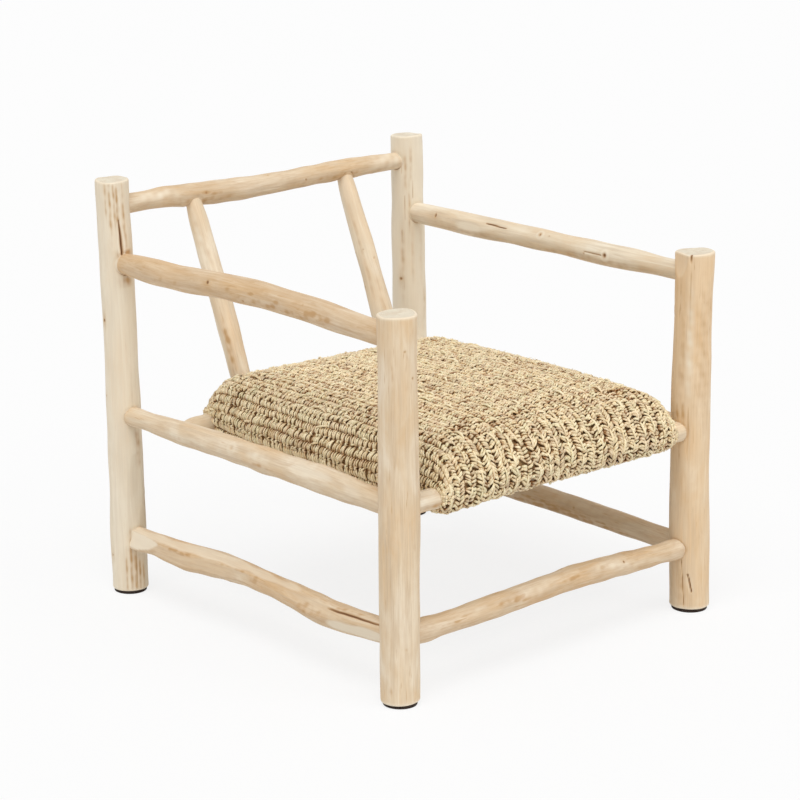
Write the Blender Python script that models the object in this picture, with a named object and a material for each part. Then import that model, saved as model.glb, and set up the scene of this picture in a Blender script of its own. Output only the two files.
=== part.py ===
"""Low armchair of peeled branches, with a stuffed raffia seat wrapped round its rails.

The chair faces -Y. Left and right are as seen from the front, with +X to the right, and +Z is up.
All sizes are in metres.
"""

import math
from dataclasses import dataclass

import bmesh
import bpy
from mathutils import Vector

# Frame
POST_DIA = 0.060
BRANCH_DIA = 0.036
POST_SPACING_X = 0.645
POST_SPACING_Y = 0.700
FRONT_POST_HEIGHT = 0.611
BACK_POST_RISE = 0.101
ARM_DROP = 0.038
CREST_DROP = 0.045
SEAT_RAIL_HEIGHT = 0.312
STRETCHER_HEIGHT = 0.107
LEFT_STRETCHER_DROP = 0.006
FRONT_STRETCHER_RISE = 0.003
BACK_RAIL_SETBACK = 0.150
LEFT_SPINDLE_X = -0.166
LEFT_SPINDLE_FORWARD = 0.003
RIGHT_SPINDLE_X = 0.169

# Post ends and foot glides
POST_TOP_CHAMFER = 0.002
POST_FOOT_ROUND = 0.003
GLIDE_THICKNESS = 0.006
GLIDE_INSET = 0.003
GLIDE_EDGE = 0.0012
GLIDE_NAIL_DIA = 0.004
GLIDE_NAIL_LENGTH = 0.016

# Joints: a natural branch end sits in a shallow housing, and a round tenon goes on from it
FIT = 0.0003
HOUSING_DEPTH = 0.008
TENON_DIA = 0.020
TENON_CHAMFER = 0.002
TENON_BACKING = 0.013
TENON_SPACER = 0.003
THIN_TENON_DIA = 0.015
THIN_TENON_BACKING = 0.006
NECK_DIA = 0.022
NECK_HOUSING = 0.005
NECK_LENGTH = 0.014
SPINDLE_TOP_HOUSING = 0.005
LEFT_SPINDLE_TOP_HOUSING = 0.011
PEG_DIA = 0.008
PEG_RECESS = 0.0012
PEG_PAST_TENON = 0.004
PEG_LEAD = 0.001
RAIL_PEG_DIA = 0.006
RAIL_PEG_PAST_TENON = 0.002

# Seat
SLAT_COUNT = 5
SLAT_WIDTH = 0.050
SLAT_THICKNESS = 0.010
SLAT_SEAT_DEPTH = 0.005
SLAT_OVERHANG = 0.006
SLAT_EDGE_GAP = 0.038
SCREW_LENGTH = 0.027
SCREW_DIA = 0.004
SCREW_HEAD_DIA = 0.008
SCREW_HEAD_HEIGHT = 0.003
SCREW_SINK = 0.0005
COVER_THICKNESS = 0.007
COVER_LEFT_GAP = 0.067
COVER_RIGHT_GAP = 0.049
COVER_SIDE_BULGE = 0.018
CUSHION_RISE = 0.080
CUSHION_CROWN = 0.010
CUSHION_LEAN = 0.010
CUSHION_END_ROLL = 0.055
CUSHION_SIDE_ROLL = 0.050
CUSHION_RIM = 0.006
CUSHION_FULLNESS = 2.3
PAD_EASE = 0.002

# Share of the shank's radius that is left at a nail's or a screw's point
POINT_SHARE = 0.3

# Facets, and the angles in degrees past which an edge is shaded sharp
POST_SIDES = 14
BRANCH_SIDES = 12
PEG_SIDES = 8
CUSHION_CELLS_X = 14
CUSHION_CELLS_Y = 14
EDGE_ANGLE = 40
SOFT_EDGE_ANGLE = 60

BACK_POST_HEIGHT = FRONT_POST_HEIGHT + BACK_POST_RISE
ARM_HEIGHT = FRONT_POST_HEIGHT - ARM_DROP
CREST_HEIGHT = BACK_POST_HEIGHT - CREST_DROP
BACK_RAIL_Y = POST_SPACING_Y / 2 - BACK_RAIL_SETBACK
POST_BASE = GLIDE_THICKNESS + FIT

UP = Vector((0, 0, 1))
TO_RIGHT = Vector((1, 0, 0))
TO_BACK = Vector((0, 1, 0))

# Colour, roughness and metallic value of each finish
FINISHES = {
    "peeled_wood": ((0.72, 0.56, 0.38), 0.62, 0.0),
    "slat_wood": ((0.62, 0.46, 0.28), 0.70, 0.0),
    "peg_wood": ((0.55, 0.40, 0.24), 0.65, 0.0),
    "raffia": ((0.60, 0.45, 0.26), 0.80, 0.0),
    "stuffing": ((0.78, 0.70, 0.55), 0.90, 0.0),
    "glide": ((0.07, 0.05, 0.04), 0.55, 0.0),
    "screw_steel": ((0.55, 0.55, 0.53), 0.35, 1.0),
}


@dataclass
class Post:
    """A standing branch. Each station is (share of the height, right, back, diameter), the last three
    as shares of POST_DIA."""

    name: str
    right: float
    back: float
    height: float
    stations: tuple

    def at(self, height):
        """The post's axis point and radius at a height, read between its stations."""
        share = (height - POST_BASE) / (self.height - POST_BASE)
        lower, upper = self.stations[0], self.stations[-1]
        for below, above in zip(self.stations, self.stations[1:]):
            if below[0] <= share <= above[0]:
                lower, upper = below, above
        part = (share - lower[0]) / (upper[0] - lower[0])
        right, back, dia = ((a + (b - a) * part) * POST_DIA for a, b in zip(lower[1:], upper[1:]))
        return Vector((self.right + right, self.back + back, height)), dia / 2


@dataclass
class End:
    """How a branch ends: point on its host's axis, distances from that axis to the housing's floor and
    to the tenon's tip, diameter in the housing, tenon diameter and the length of a whittled neck."""

    point: Vector
    floor: float
    tip: float
    dia: float
    tenon: float
    neck: float = 0.0


@dataclass
class Branch:
    """A branch between two ends. Each station is (share of the length, sideways, up, diameter), the last
    three as shares of BRANCH_DIA."""

    name: str
    start: End
    finish: End
    stations: tuple

    def frame(self):
        along = self.finish.point - self.start.point
        length = along.length
        along = along / length
        sideways = along.cross(UP).normalized()
        return along, sideways, sideways.cross(along), length

    def sections(self):
        """The stations in real sizes."""
        return [(share, *(size * BRANCH_DIA for size in sizes)) for share, *sizes in self.stations]

    def at(self, share):
        """The branch's axis point and radius at a share of its length."""
        along, sideways, up, length = self.frame()
        rows = [(0.0, 0.0, 0.0, self.start.dia), *self.sections(), (1.0, 0.0, 0.0, self.finish.dia)]
        lower, upper = rows[0], rows[-1]
        for before, after in zip(rows, rows[1:]):
            if before[0] <= share <= after[0]:
                lower, upper = before, after
        part = (share - lower[0]) / (upper[0] - lower[0])
        side, lift, dia = (a + (b - a) * part for a, b in zip(lower[1:], upper[1:]))
        return self.start.point + along * share * length + sideways * side + up * lift, dia / 2


def make_material(name, finish):
    colour, roughness, metallic = FINISHES[finish]
    material = bpy.data.materials.new(name + "_" + finish)
    material.use_nodes = True
    shader = material.node_tree.nodes["Principled BSDF"]
    shader.inputs["Base Color"].default_value = (*colour, 1.0)
    shader.inputs["Roughness"].default_value = roughness
    shader.inputs["Metallic"].default_value = metallic
    return material


def add_object(name, bm, finish, root, smooth_angle=EDGE_ANGLE):
    """One named object from a bmesh, shaded smooth, with its own material, under the root."""
    bmesh.ops.recalc_face_normals(bm, faces=bm.faces)
    mesh = bpy.data.meshes.new(name)
    bm.to_mesh(mesh)
    bm.free()
    mesh.shade_smooth()
    mesh.set_sharp_from_angle(angle=math.radians(smooth_angle))
    mesh.materials.append(make_material(name, finish))
    obj = bpy.data.objects.new(name, mesh)
    bpy.context.scene.collection.objects.link(obj)
    obj.parent = root
    return obj


def add_cutter(name, bm, root):
    """A guide solid that only cuts other pieces."""
    bmesh.ops.recalc_face_normals(bm, faces=bm.faces)
    mesh = bpy.data.meshes.new(name)
    bm.to_mesh(mesh)
    bm.free()
    cutter = bpy.data.objects.new(name, mesh)
    bpy.context.scene.collection.objects.link(cutter)
    cutter.parent = root
    cutter.hide_render = True
    cutter.display_type = "WIRE"
    return cutter


def cut(obj, *cutters):
    for cutter in cutters:
        modifier = obj.modifiers.new(cutter.name, "BOOLEAN")
        modifier.operation = "DIFFERENCE"
        modifier.solver = "EXACT"
        modifier.object = cutter


def skin(rings):
    """A closed solid through rings of equally many points, with flat ends."""
    bm = bmesh.new()
    loops = [[bm.verts.new(point) for point in ring] for ring in rings]
    for lower, upper in zip(loops, loops[1:]):
        for i in range(len(lower)):
            j = (i + 1) % len(lower)
            bm.faces.new((lower[i], lower[j], upper[j], upper[i]))
    bm.faces.new(list(reversed(loops[0])))
    bm.faces.new(loops[-1])
    return bm


def ring(centre, first, second, radius, sides):
    turn = 2 * math.pi / sides
    return [
        centre + first * radius * math.cos(turn * i) + second * radius * math.sin(turn * i)
        for i in range(sides)
    ]


def turned(base, axis, profile, sides):
    """A solid of round sections: profile is (distance along the axis, radius)."""
    first = axis.orthogonal().normalized()
    second = axis.cross(first)
    return skin([ring(base + axis * along, first, second, radius, sides) for along, radius in profile])


# Posts


def post_places():
    """The four posts, with the lean and swell of each natural branch."""
    half_x = POST_SPACING_X / 2
    half_y = POST_SPACING_Y / 2
    front_left = Post(
        "front_left_post", -half_x, -half_y, FRONT_POST_HEIGHT,
        ((0.0, 0.0, -0.02, 1.02), (0.17, 0.0, 0.0, 1.04), (0.49, 0.0, 0.02, 1.05),
         (0.69, -0.02, 0.03, 1.02), (1.0, -0.05, 0.05, 0.99)),
    )
    front_right = Post(
        "front_right_post", half_x, -half_y, FRONT_POST_HEIGHT,
        ((0.0, 0.07, -0.05, 1.13), (0.30, 0.0, 0.0, 1.1), (0.58, -0.03, 0.03, 1.08),
         (0.78, -0.03, 0.03, 1.03), (1.0, -0.02, 0.03, 1.07)),
    )
    back_left = Post(
        "back_left_post", -half_x, half_y, BACK_POST_HEIGHT,
        ((0.0, 0.08, -0.08, 1.05), (0.10, 0.07, -0.07, 1.01), (0.34, 0.05, -0.05, 0.98),
         (0.60, 0.02, -0.02, 0.94), (0.84, -0.03, 0.03, 0.93), (1.0, -0.08, 0.07, 0.94)),
    )
    back_right = Post(
        "back_right_post", half_x, half_y, BACK_POST_HEIGHT,
        ((0.0, 0.1, -0.08, 1.07), (0.30, 0.08, -0.07, 1.04), (0.62, 0.05, -0.03, 1.02),
         (0.85, 0.0, 0.0, 0.97), (1.0, -0.02, 0.02, 0.96)),
    )
    return {post.name: post for post in (front_left, front_right, back_left, back_right)}


def post_solid(post):
    rings = []
    base, radius = post.at(POST_BASE)
    rings.append((base, radius - POST_FOOT_ROUND))
    rings.append((base + UP * POST_FOOT_ROUND, radius))
    for share, *_ in post.stations[1:-1]:
        rings.append(post.at(POST_BASE + share * (post.height - POST_BASE)))
    top, radius = post.at(post.height)
    rings.append((top - UP * POST_TOP_CHAMFER, radius))
    rings.append((top, radius - POST_TOP_CHAMFER))
    return skin([ring(point, TO_RIGHT, TO_BACK, r, POST_SIDES) for point, r in rings])


def glide_solid(post, grow):
    """The pad under a post and the nail that holds it, larger by grow to cut its seat."""
    base, radius = post.at(POST_BASE)
    pad = radius - GLIDE_INSET + grow
    nail = GLIDE_NAIL_DIA / 2 + grow
    floor = base - UP * POST_BASE
    tip = GLIDE_THICKNESS + GLIDE_NAIL_LENGTH + grow
    profile = (
        (0.0, pad - GLIDE_EDGE),
        (GLIDE_EDGE, pad),
        (GLIDE_THICKNESS, pad),
        (GLIDE_THICKNESS, nail),
        (tip - GLIDE_NAIL_DIA, nail),
        (tip, nail * POINT_SHARE),
    )
    return turned(floor, UP, profile, BRANCH_SIDES)


# Branches


def deep_end(post, height, dia):
    """A branch end, dia as a share of BRANCH_DIA, with a tenon that reaches across the post and leaves
    TENON_BACKING of wood."""
    point, radius = post.at(height)
    return End(point, radius - HOUSING_DEPTH, TENON_BACKING - radius, dia * BRANCH_DIA, TENON_DIA)


def stub_end(post, height, dia):
    """A branch end, dia as a share of BRANCH_DIA, with a short tenon that stops beside the tenon
    crossing it."""
    point, radius = post.at(height)
    return End(point, radius - HOUSING_DEPTH, TENON_DIA / 2 + TENON_SPACER, dia * BRANCH_DIA, TENON_DIA)


def necked_end(host, share):
    """A whittled end in the side of another branch."""
    point, radius = host.at(share)
    floor, tip = radius - NECK_HOUSING, THIN_TENON_BACKING - radius
    return End(point, floor, tip, NECK_DIA, THIN_TENON_DIA, NECK_LENGTH)


def share_across(branch, axis, place):
    """The share of a branch's length at which it passes a place along X or Y."""
    first, last = branch.start.point[axis], branch.finish.point[axis]
    return (place - first) / (last - first)


def end_steps(end, natural_dia, grow):
    """A branch's sections from its tenon's tip outwards: (distance from the host's axis, diameter)."""
    rows = [
        (end.tip - grow, end.tenon - 2 * TENON_CHAMFER),
        (end.tip - grow + TENON_CHAMFER, end.tenon),
        (end.floor - grow, end.tenon),
        (end.floor - grow, end.dia),
    ]
    if end.neck:
        surface = end.floor + NECK_HOUSING
        rows.append((surface, end.dia))
        rows.append((surface + end.neck, natural_dia))
    return rows


def branch_solid(branch, grow=0.0):
    """The branch with its housed ends and tenons, larger all round by grow to cut its seats."""
    along, sideways, up, length = branch.frame()
    sections = branch.sections()
    steps = []
    for distance, dia in end_steps(branch.start, sections[0][3], grow):
        steps.append((distance, 0.0, 0.0, dia))
    for share, side, lift, dia in sections:
        steps.append((share * length, side, lift, dia))
    for distance, dia in reversed(end_steps(branch.finish, sections[-1][3], grow)):
        steps.append((length - distance, 0.0, 0.0, dia))
    rings = []
    for distance, side, lift, dia in steps:
        centre = branch.start.point + along * distance + sideways * side + up * lift
        rings.append(ring(centre, sideways, up, dia / 2 + grow, BRANCH_SIDES))
    return skin(rings)


def frame_branches(posts):
    """Every branch of the frame that runs from post to post."""
    fl, fr = posts["front_left_post"], posts["front_right_post"]
    bl, br = posts["back_left_post"], posts["back_right_post"]
    left_arm = Branch(
        "left_arm", deep_end(bl, ARM_HEIGHT, 0.89), deep_end(fl, ARM_HEIGHT, 1.0),
        ((0.08, 0.03, 0.03, 1.06), (0.165, 0.08, 0.03, 1.24), (0.25, 0.06, 0.03, 1.14),
         (0.40, -0.06, 0.19, 1.18), (0.55, -0.11, 0.25, 1.14), (0.75, -0.06, 0.17, 1.14),
         (0.87, 0.0, 0.06, 1.1)),
    )
    right_arm = Branch(
        "right_arm", deep_end(br, ARM_HEIGHT, 0.92), deep_end(fr, ARM_HEIGHT, 0.89),
        ((0.09, 0.0, 0.0, 1.03), (0.16, 0.03, 0.0, 1.08), (0.24, 0.06, -0.03, 1.14),
         (0.38, 0.06, 0.03, 1.04), (0.55, 0.0, 0.0, 1.02), (0.72, -0.08, -0.03, 1.09),
         (0.86, -0.03, 0.0, 0.97)),
    )
    left_seat_rail = Branch(
        "left_seat_rail", deep_end(bl, SEAT_RAIL_HEIGHT, 0.92), deep_end(fl, SEAT_RAIL_HEIGHT, 1.0),
        ((0.10, 0.0, 0.0, 0.93), (0.22, 0.03, 0.03, 1.01), (0.31, 0.03, 0.07, 1.14),
         (0.50, 0.0, 0.08, 1.13), (0.65, -0.03, 0.06, 1.19), (0.74, -0.03, 0.07, 1.24),
         (0.85, 0.0, 0.03, 1.11)),
    )
    right_seat_rail = Branch(
        "right_seat_rail", deep_end(br, SEAT_RAIL_HEIGHT, 0.94), deep_end(fr, SEAT_RAIL_HEIGHT, 0.94),
        ((0.10, 0.0, 0.0, 1.0), (0.22, -0.03, 0.0, 1.04), (0.40, -0.08, 0.03, 1.1),
         (0.60, -0.08, 0.06, 1.11), (0.78, -0.03, 0.03, 1.04), (0.90, 0.0, 0.0, 0.99)),
    )
    front_seat_rail = Branch(
        "front_seat_rail", stub_end(fl, SEAT_RAIL_HEIGHT, 0.94), stub_end(fr, SEAT_RAIL_HEIGHT, 0.94),
        ((0.10, 0.0, 0.0, 0.96), (0.30, 0.0, 0.01, 0.97), (0.55, 0.0, 0.0, 0.99),
         (0.75, 0.0, -0.01, 0.98), (0.92, 0.0, 0.0, 0.96)),
    )
    left_stretcher = Branch(
        "left_stretcher",
        deep_end(bl, STRETCHER_HEIGHT - LEFT_STRETCHER_DROP, 0.89),
        deep_end(fl, STRETCHER_HEIGHT, 1.03),
        ((0.08, 0.03, 0.0, 0.96), (0.16, 0.06, 0.0, 1.08), (0.26, 0.06, 0.01, 1.28),
         (0.37, -0.03, 0.14, 1.22), (0.47, -0.08, 0.17, 1.03), (0.57, -0.08, 0.08, 1.01),
         (0.66, -0.03, 0.0, 1.17), (0.74, 0.03, -0.11, 1.3), (0.82, 0.06, -0.11, 1.19),
         (0.90, 0.03, -0.03, 1.1)),
    )
    right_stretcher = Branch(
        "right_stretcher", deep_end(br, STRETCHER_HEIGHT, 0.94), deep_end(fr, STRETCHER_HEIGHT, 1.0),
        ((0.10, 0.03, 0.03, 1.01), (0.30, 0.11, 0.14, 1.1), (0.57, 0.06, 0.17, 1.08),
         (0.75, 0.0, 0.08, 1.06), (0.90, 0.0, 0.03, 1.03)),
    )
    front_stretcher = Branch(
        "front_stretcher",
        stub_end(fl, STRETCHER_HEIGHT, 1.03),
        stub_end(fr, STRETCHER_HEIGHT + FRONT_STRETCHER_RISE, 0.97),
        ((0.08, 0.0, 0.0, 1.04), (0.16, 0.0, -0.03, 0.98), (0.30, 0.03, 0.06, 1.07),
         (0.43, 0.06, 0.15, 1.01), (0.57, 0.0, 0.22, 1.1), (0.71, -0.06, 0.11, 1.06),
         (0.86, 0.0, 0.03, 0.96)),
    )
    crest_rail = Branch(
        "crest_rail", deep_end(bl, CREST_HEIGHT, 0.94), deep_end(br, CREST_HEIGHT, 0.81),
        ((0.06, 0.0, 0.0, 0.94), (0.11, 0.0, 0.0, 0.88), (0.16, -0.03, 0.04, 1.0),
         (0.24, 0.0, -0.08, 1.07), (0.40, 0.06, -0.14, 1.1), (0.54, 0.08, -0.11, 0.98),
         (0.70, 0.03, -0.03, 0.96), (0.85, 0.0, 0.0, 0.96), (0.93, 0.0, 0.0, 0.86)),
    )
    made = (
        left_arm, right_arm, left_seat_rail, right_seat_rail, front_seat_rail,
        left_stretcher, right_stretcher, front_stretcher, crest_rail,
    )
    return {branch.name: branch for branch in made}


def back_seat_rail_between(branches):
    """The rail set forward of the back posts, tenoned into both side seat rails."""
    left, right = branches["left_seat_rail"], branches["right_seat_rail"]
    return Branch(
        "back_seat_rail",
        necked_end(left, share_across(left, 1, BACK_RAIL_Y)),
        necked_end(right, share_across(right, 1, BACK_RAIL_Y)),
        ((0.11, 0.0, 0.0, 0.96), (0.35, 0.0, 0.03, 0.99), (0.62, 0.0, 0.01, 1.0),
         (0.89, 0.0, 0.0, 0.96)),
    )


def spindle(name, place_x, forward, housing, branches, top_dia, stations):
    """A back spindle that reclines from the back seat rail to the crest rail. Its top lies forward of the
    crest's axis, goes in as deep as its housing and has top_dia as a share of BRANCH_DIA."""
    rail, crest = branches["back_seat_rail"], branches["crest_rail"]
    foot = necked_end(rail, share_across(rail, 0, place_x))
    point, radius = crest.at(share_across(crest, 0, place_x))
    floor, tip = radius - housing, THIN_TENON_BACKING - radius
    head = End(point - TO_BACK * forward, floor, tip, top_dia * BRANCH_DIA, THIN_TENON_DIA)
    return Branch(name, foot, head, stations)


def seat_and_back_branches(branches):
    branches["back_seat_rail"] = back_seat_rail_between(branches)
    branches["left_spindle"] = spindle(
        "left_spindle", LEFT_SPINDLE_X, LEFT_SPINDLE_FORWARD, LEFT_SPINDLE_TOP_HOUSING, branches, 0.78,
        ((0.13, 0.0, 0.0, 0.97), (0.35, 0.03, 0.03, 1.01), (0.52, 0.03, 0.06, 1.0),
         (0.68, 0.0, 0.03, 0.96), (0.86, 0.0, 0.0, 0.92)),
    )
    branches["right_spindle"] = spindle(
        "right_spindle", RIGHT_SPINDLE_X, 0.0, SPINDLE_TOP_HOUSING, branches, 0.77,
        ((0.13, 0.0, 0.0, 1.08), (0.32, 0.03, 0.03, 1.1), (0.52, 0.06, 0.03, 1.0),
         (0.70, 0.04, 0.0, 0.95), (0.88, 0.0, 0.0, 0.92)),
    )


# Pegs


def peg_solid(base, axis, length, dia, grow):
    """A round peg from its inner end, larger by grow to cut its hole."""
    radius = dia / 2 + grow
    profile = ((-grow, radius - PEG_LEAD), (PEG_LEAD, radius), (length + grow, radius))
    return turned(base, axis, profile, PEG_SIDES)


def post_pegs(branches):
    """Each long tenon in a post with a free side: (peg, post, branch, end, direction it is driven from)."""
    rows = []
    for side in ("left", "right"):
        back, front = f"back_{side}_post", f"front_{side}_post"
        rows.append((f"{side}_arm_back_peg", back, f"{side}_arm", "start", TO_RIGHT))
        rows.append((f"{side}_arm_front_peg", front, f"{side}_arm", "finish", TO_RIGHT))
        rows.append((f"{side}_seat_rail_peg", back, f"{side}_seat_rail", "start", TO_RIGHT))
        rows.append((f"{side}_stretcher_peg", back, f"{side}_stretcher", "start", TO_RIGHT))
    rows.append(("crest_left_peg", "back_left_post", "crest_rail", "start", TO_BACK))
    rows.append(("crest_right_peg", "back_right_post", "crest_rail", "finish", TO_BACK))
    return [(peg, post, branches[branch], end, toward) for peg, post, branch, end, toward in rows]


def add_post_pegs(posts, branches, objects, root):
    for name, post_name, branch, end, toward in post_pegs(branches):
        point = getattr(branch, end).point
        radius = posts[post_name].at(point.z)[1] * math.cos(math.pi / POST_SIDES)
        inner = TENON_DIA / 2 + PEG_PAST_TENON
        base = point - toward * inner
        length = inner + radius - PEG_RECESS
        objects[name] = add_object(name, peg_solid(base, toward, length, PEG_DIA, 0.0), "peg_wood", root)
        hole = add_cutter(name + "_hole", peg_solid(base, toward, length + PEG_DIA, PEG_DIA, FIT), root)
        cut(objects[post_name], hole)
        cut(objects[branch.name], hole)


def add_rail_pegs(branches, objects, root):
    """Pegs driven up from below through the back seat rail's two tenons."""
    rail = branches["back_seat_rail"]
    for side, end in (("left", rail.start), ("right", rail.finish)):
        host = branches[f"{side}_seat_rail"]
        radius = host.at(share_across(host, 1, BACK_RAIL_Y))[1] * math.cos(math.pi / BRANCH_SIDES)
        inner = THIN_TENON_DIA / 2 + RAIL_PEG_PAST_TENON
        base = end.point + UP * inner
        length = inner + radius - PEG_RECESS
        name = f"back_rail_{side}_peg"
        objects[name] = add_object(name, peg_solid(base, -UP, length, RAIL_PEG_DIA, 0.0), "peg_wood", root)
        hole = add_cutter(name + "_hole", peg_solid(base, -UP, length + PEG_DIA, RAIL_PEG_DIA, FIT), root)
        cut(objects[host.name], hole)
        cut(objects["back_seat_rail"], hole)


# Seat


def cover_edges():
    """The cover's left and right edges at the seat rails."""
    half = POST_SPACING_X / 2
    return COVER_LEFT_GAP - half, half - COVER_RIGHT_GAP


def rail_wrap_radius(rail):
    return max(dia for _, _, _, dia in rail.sections()) / 2 + FIT + COVER_THICKNESS


def rounded(distance, roll):
    """From 0 at the rim to 1 where the roll ends, along a full curve."""
    left = 1 - min(max(distance / roll, 0.0), 1.0)
    return (1 - left ** CUSHION_FULLNESS) ** (1 / CUSHION_FULLNESS)


def spread(count):
    """Places from -1 to 1, closer together towards both ends."""
    return [-math.cos(math.pi * i / count) for i in range(count + 1)]


def cushion_form(branches, inset):
    """The cushion's stuffed shape, smaller all round by inset: crowned on top, fuller to the left, rolled
    over at the sides, and drawn tight round the front and back seat rails."""
    left, right = cover_edges()
    front_rail, back_rail = branches["front_seat_rail"], branches["back_seat_rail"]
    front = front_rail.start.point.y - rail_wrap_radius(front_rail) + inset
    back = back_rail.start.point.y + rail_wrap_radius(back_rail) - inset
    below = rail_wrap_radius(front_rail) - inset
    above = CUSHION_RISE - inset
    middle_x, half_x = (left + right) / 2, (right - left) / 2 - inset
    middle_y, half_y = (front + back) / 2, (back - front) / 2
    tops, bottoms = [], []
    for eta in spread(CUSHION_CELLS_Y):
        top_row, bottom_row = [], []
        for xi in spread(CUSHION_CELLS_X):
            width = half_x + COVER_SIDE_BULGE * (1 - eta ** 2)
            x, y = middle_x + xi * width, middle_y + eta * half_y
            to_side, to_end = (1 - abs(xi)) * width, (1 - abs(eta)) * half_y
            lift = rounded(to_side, CUSHION_SIDE_ROLL) * rounded(to_end, CUSHION_END_ROLL)
            sink = rounded(to_side, below) * rounded(to_end, below)
            crown = CUSHION_CROWN * (1 - xi ** 2) * (1 - eta ** 2)
            lean = CUSHION_LEAN / 2 * -xi
            top = CUSHION_RIM + (above - CUSHION_RIM + lean) * lift + crown
            bottom = CUSHION_RIM + (below - CUSHION_RIM) * sink
            top_row.append((x, y, SEAT_RAIL_HEIGHT + top))
            bottom_row.append((x, y, SEAT_RAIL_HEIGHT - bottom))
        tops.append(top_row)
        bottoms.append(bottom_row)
    return pillow(tops, bottoms)


def pillow(tops, bottoms):
    """A closed solid between an upper and a lower sheet of points, joined by a narrow rim."""
    bm = bmesh.new()
    upper = [[bm.verts.new(point) for point in row] for row in tops]
    lower = [[bm.verts.new(point) for point in row] for row in bottoms]
    rows, columns = len(tops) - 1, len(tops[0]) - 1
    for j in range(rows):
        for i in range(columns):
            bm.faces.new((upper[j][i], upper[j][i + 1], upper[j + 1][i + 1], upper[j + 1][i]))
            bm.faces.new((lower[j][i], lower[j + 1][i], lower[j + 1][i + 1], lower[j][i + 1]))
    rim = [(0, i) for i in range(columns)]
    rim += [(j, columns) for j in range(rows)]
    rim += [(rows, i) for i in range(columns, 0, -1)]
    rim += [(j, 0) for j in range(rows, 0, -1)]
    for (j, i), (n, m) in zip(rim, rim[1:] + rim[:1]):
        bm.faces.new((lower[j][i], lower[n][m], upper[n][m], upper[j][i]))
    return bm


def slat_levels(branches):
    """The height of the slats' undersides and of their tops."""
    radius = branches["front_seat_rail"].sections()[0][3] / 2
    bottom = SEAT_RAIL_HEIGHT + radius - SLAT_SEAT_DEPTH
    return bottom, bottom + SLAT_THICKNESS


def below_pad_box(branches):
    """The space under the pad, down past the cover: what the slats' tops cut off the stuffing."""
    top = slat_levels(branches)[1] + FIT
    bm = bmesh.new()
    bmesh.ops.create_cube(bm, size=1.0)
    for vert in bm.verts:
        vert.co.x *= POST_SPACING_X
        vert.co.y *= POST_SPACING_Y * 2
        vert.co.z = top if vert.co.z > 0 else 0.0
    return bm


def slat_box(place_x, branches, grow):
    bottom, top = slat_levels(branches)
    front = branches["front_seat_rail"].start.point.y - SLAT_OVERHANG
    back = branches["back_seat_rail"].start.point.y + SLAT_OVERHANG
    half = SLAT_WIDTH / 2 + grow
    bm = bmesh.new()
    bmesh.ops.create_cube(bm, size=1.0)
    for vert in bm.verts:
        vert.co.x = place_x + half * (1 if vert.co.x > 0 else -1)
        vert.co.y = back + grow if vert.co.y > 0 else front - grow
        vert.co.z = top + grow if vert.co.z > 0 else bottom - grow
    return bm


def screw_profile(grow):
    """A countersunk wood screw from its head down: (depth below the slat's top, radius)."""
    head, shank = SCREW_HEAD_DIA / 2 + grow, SCREW_DIA / 2 + grow
    return (
        (SCREW_SINK, head),
        (SCREW_SINK + SCREW_HEAD_HEIGHT, shank),
        (SCREW_LENGTH - SCREW_DIA, shank),
        (SCREW_LENGTH + grow, shank * POINT_SHARE),
    )


def screw_solid(point):
    return turned(point, -UP, screw_profile(0.0), PEG_SIDES)


def screw_hole(point):
    """The screw's hole, open at the slat's top."""
    profile = screw_profile(FIT)
    return turned(point, -UP, ((-FIT, profile[0][1]), *profile), PEG_SIDES)


def add_slats(branches, objects, cutters, root):
    left, right = cover_edges()
    first, last = left + SLAT_EDGE_GAP, right - SLAT_EDGE_GAP
    front_rail, back_rail = branches["front_seat_rail"], branches["back_seat_rail"]
    top = slat_levels(branches)[1]
    for number in range(SLAT_COUNT):
        place_x = first + (last - first) * number / (SLAT_COUNT - 1)
        name = f"seat_slat_{number + 1}"
        slat = add_object(name, slat_box(place_x, branches, 0.0), "slat_wood", root)
        seat = add_cutter(name + "_seat", slat_box(place_x, branches, FIT), root)
        objects[name] = slat
        cut(slat, cutters["left_spindle"], cutters["right_spindle"])
        for end, rail in (("front", front_rail), ("back", back_rail)):
            cut(objects[rail.name], seat)
            point = Vector((place_x, rail.start.point.y, top))
            screw = f"slat_screw_{end}_{number + 1}"
            objects[screw] = add_object(screw, screw_solid(point), "screw_steel", root)
            hole = add_cutter(screw + "_hole", screw_hole(point), root)
            cut(slat, hole)
            cut(objects[rail.name], hole)


def add_cushion(branches, objects, cutters, root):
    skin_form = cushion_form(branches, 0.0)
    cover = add_object("raffia_cover", skin_form, "raffia", root, smooth_angle=SOFT_EDGE_ANGLE)
    hollow = add_cutter("cover_hollow", cushion_form(branches, COVER_THICKNESS), root)
    passing = ("front_seat_rail", "back_seat_rail", "left_spindle", "right_spindle")
    cut(cover, hollow, *(cutters[name] for name in passing))
    stuffing = cushion_form(branches, COVER_THICKNESS + PAD_EASE)
    pad = add_object("seat_pad", stuffing, "stuffing", root, smooth_angle=SOFT_EDGE_ANGLE)
    below = add_cutter("below_pad", below_pad_box(branches), root)
    cut(pad, below, cutters["left_spindle"], cutters["right_spindle"])
    objects["raffia_cover"] = cover
    objects["seat_pad"] = pad


# Assembly


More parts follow.
